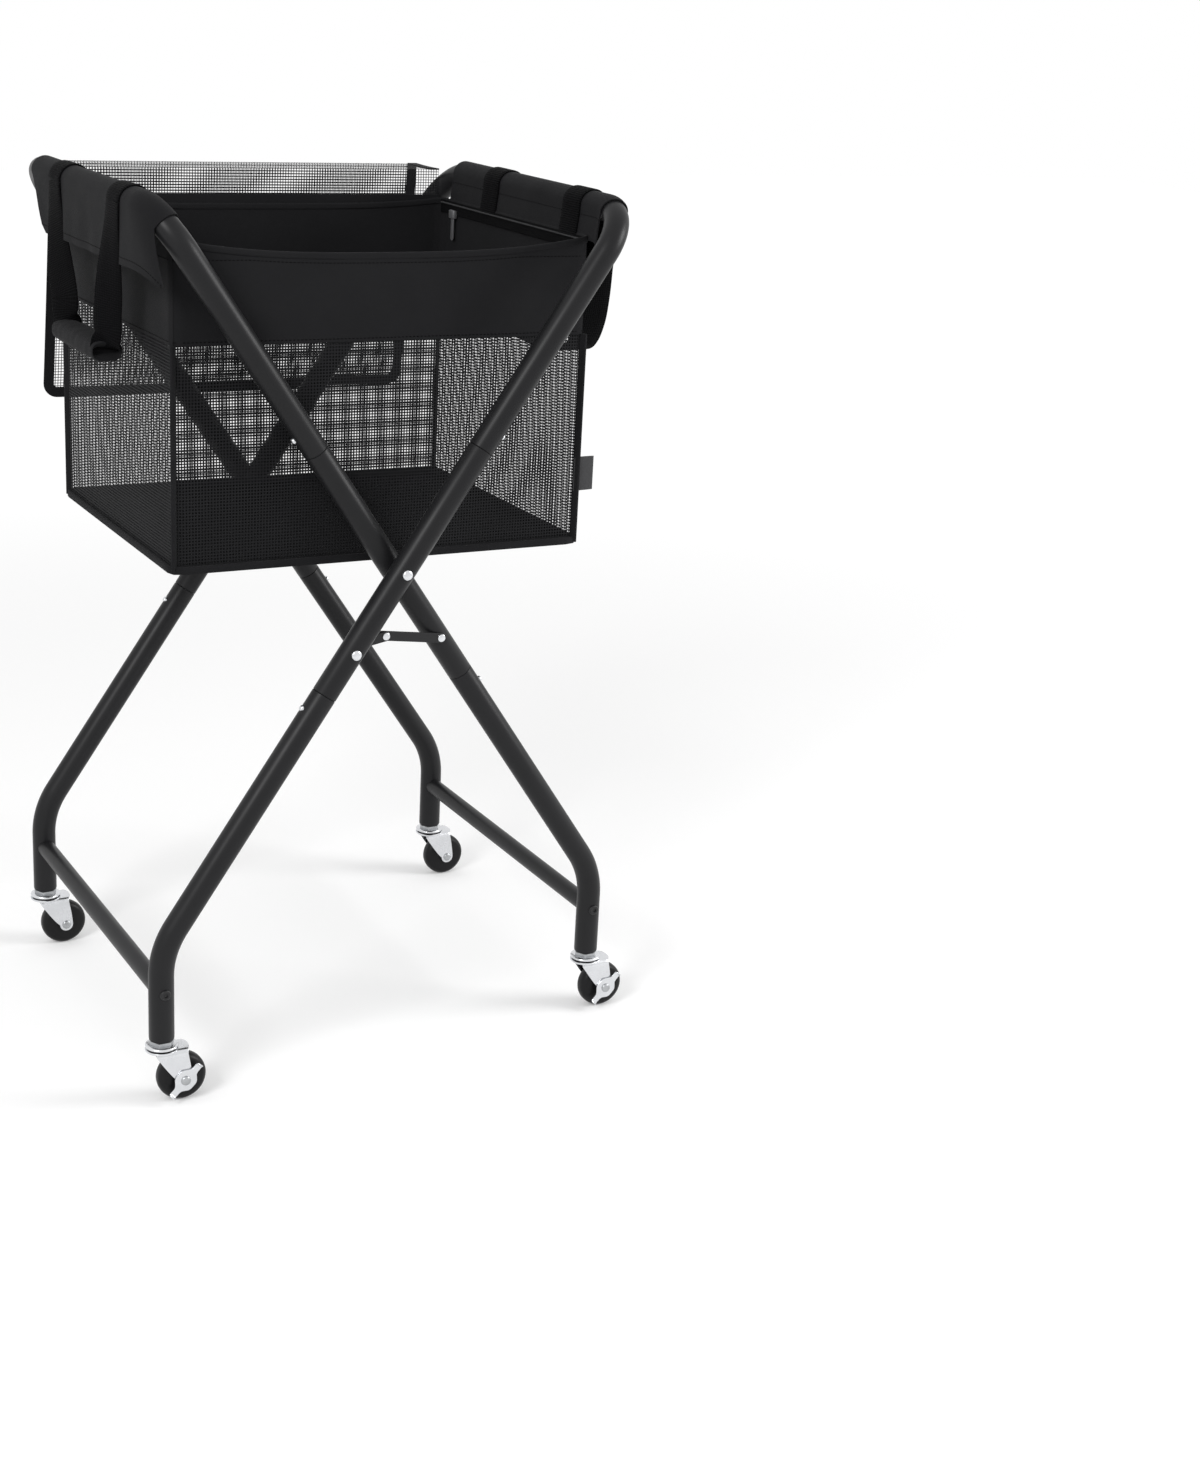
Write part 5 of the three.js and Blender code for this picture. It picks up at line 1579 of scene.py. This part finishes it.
# The photograph's camera: its place, and its own axes to the right, up and back.
EYE_PLACE = (-0.90826, -2.17960, 1.10184)
EYE_RIGHT = (0.874529, -0.481881, 0.054673)
EYE_UP = (0.110142, 0.307137, 0.945270)
EYE_BACK = (-0.472300, -0.820645, 0.321675)


def shown(tree):
    """1 for the rays that show the backdrop: the camera's, those off gloss and those through clear things."""
    rays = wire(tree, "ShaderNodeLightPath").outputs
    direct = sum_node(tree, "MAXIMUM", rays["Is Camera Ray"], rays["Is Glossy Ray"])
    return sum_node(tree, "MAXIMUM", direct, rays["Is Transmission Ray"])


class CART_OT_stage(bpy.types.Operator):
    """Soft studio light, a white floor and the camera of the photograph"""

    bl_idname = "cart.stage"
    bl_label = "Studio"

    def execute(self, context):
        settings, scene = context.scene.cart_stage, context.scene
        lamps = [self.lamp("softbox", SOFTBOX_PLACE, SOFTBOX_SIZE, settings.softbox)]
        lamps.append(self.lamp("side_lamp", SIDE_LAMP_PLACE, SIDE_LAMP_SIZE, settings.side_lamp))
        eye_data = bpy.data.cameras.new("photo_camera")
        eye_data.lens = settings.lens
        eye_data.sensor_width = 36
        eye = bpy.data.objects.new("photo_camera", eye_data)
        turn = Matrix((EYE_RIGHT, EYE_UP, EYE_BACK)).transposed()
        eye.matrix_world = Matrix.Translation(EYE_PLACE) @ turn.to_4x4()
        scene.collection.objects.link(eye)
        scene.camera = eye
        world = bpy.data.worlds.new("studio")
        scene.world = world
        world.use_nodes = True
        tree = world.node_tree
        light = tree.nodes["Background"]
        light.inputs["Color"].default_value = (1, 1, 1, 1)
        tree.links.new(spread(tree, shown(tree), settings.daylight, 1.0), light.inputs["Strength"])
        scene.view_settings.view_transform = "Standard"
        self.floor(settings)
        return {"FINISHED"}

    def lamp(self, name, spot, size, power):
        """Round soft lamp that looks at the middle of the cart."""
        data = bpy.data.lights.new(name, "AREA")
        data.energy, data.shape, data.size = power, "DISK", size
        lamp = bpy.data.objects.new(name, data)
        spot = Vector(spot)
        aim = (-Z).rotation_difference(Vector(LAMP_AIM) - spot).to_matrix().to_4x4()
        lamp.matrix_world = Matrix.Translation(spot) @ aim
        lamp.visible_camera = False
        bpy.context.scene.collection.objects.link(lamp)
        return lamp

    def floor(self, settings):
        """White floor that keeps the cart's shadow and runs out into the white backdrop."""
        wide = 9
        corners = [(-wide, -wide, 0), (wide, -wide, 0), (wide, wide, 0), (-wide, wide, 0)]
        floor = mesh_object("studio_floor", corners, [(0, 1, 2, 3)])
        paint, shader = coat_nodes("studio_floor", settings.floor, 0.9, specular=0.1)
        tree = paint.node_tree
        place = wire(tree, "ShaderNodeTexCoord").outputs["Object"]
        away = wire(tree, "ShaderNodeVectorMath", {0: place}, operation="LENGTH").outputs["Value"]
        inputs = {"Value": away, "From Min": 0.9, "From Max": 2.6}
        far = wire(tree, "ShaderNodeMapRange", inputs, interpolation_type="SMOOTHSTEP").outputs["Result"]
        glow = spread(tree, far, settings.glow, 1.0)
        near = (*settings.floor, 1)
        fading = wire(tree, "ShaderNodeMix", {0: far, 6: near, 7: (0, 0, 0, 1)}, data_type="RGBA")
        tree.links.new(fading.outputs[2], shader.inputs["Base Color"])
        shader.inputs["Emission Color"].default_value = (1, 1, 1, 1)
        tree.links.new(sum_node(tree, "MULTIPLY", glow, shown(tree)), shader.inputs["Emission Strength"])
        floor.data.materials.append(paint)
        return floor


class CART_PT_panel(bpy.types.Panel):
    """Sizes, colours and the steps that make the cart"""

    bl_label = "Ball cart"
    bl_idname = "CART_PT_panel"
    bl_space_type = "VIEW_3D"
    bl_region_type = "UI"
    bl_category = "Ball cart"

    def draw(self, context):
        for step in STEPS:
            self.layout.operator(step.bl_idname)
        for name, group in GROUPS.items():
            box = self.layout.box()
            for setting in group.__annotations__:
                box.prop(getattr(context.scene, name), setting)


STEPS = (
    CART_OT_tubes, CART_OT_fasteners, CART_OT_braces, CART_OT_casters, CART_OT_flaps,
    CART_OT_bag, CART_OT_handles, CART_OT_lid, CART_OT_zip, CART_OT_stage,
)
GROUPS = {
    "cart_tubes": TubeSizes, "cart_casters": CasterSizes, "cart_bag": BagSizes,
    "cart_handles": HandleSizes, "cart_stage": StageSettings,
}


def register():
    for group in (*GROUPS.values(), *STEPS, CART_PT_panel):
        bpy.utils.register_class(group)
    for name, group in GROUPS.items():
        setattr(bpy.types.Scene, name, PointerProperty(type=group))


def unregister():
    for name in GROUPS:
        delattr(bpy.types.Scene, name)
    for group in reversed((*GROUPS.values(), *STEPS, CART_PT_panel)):
        bpy.utils.unregister_class(group)


def main():
    register()
    for step in STEPS:
        getattr(bpy.ops.cart, step.bl_idname.split(".")[1])()
    bpy.context.view_layer.update()


if __name__ == "__main__":
    main()
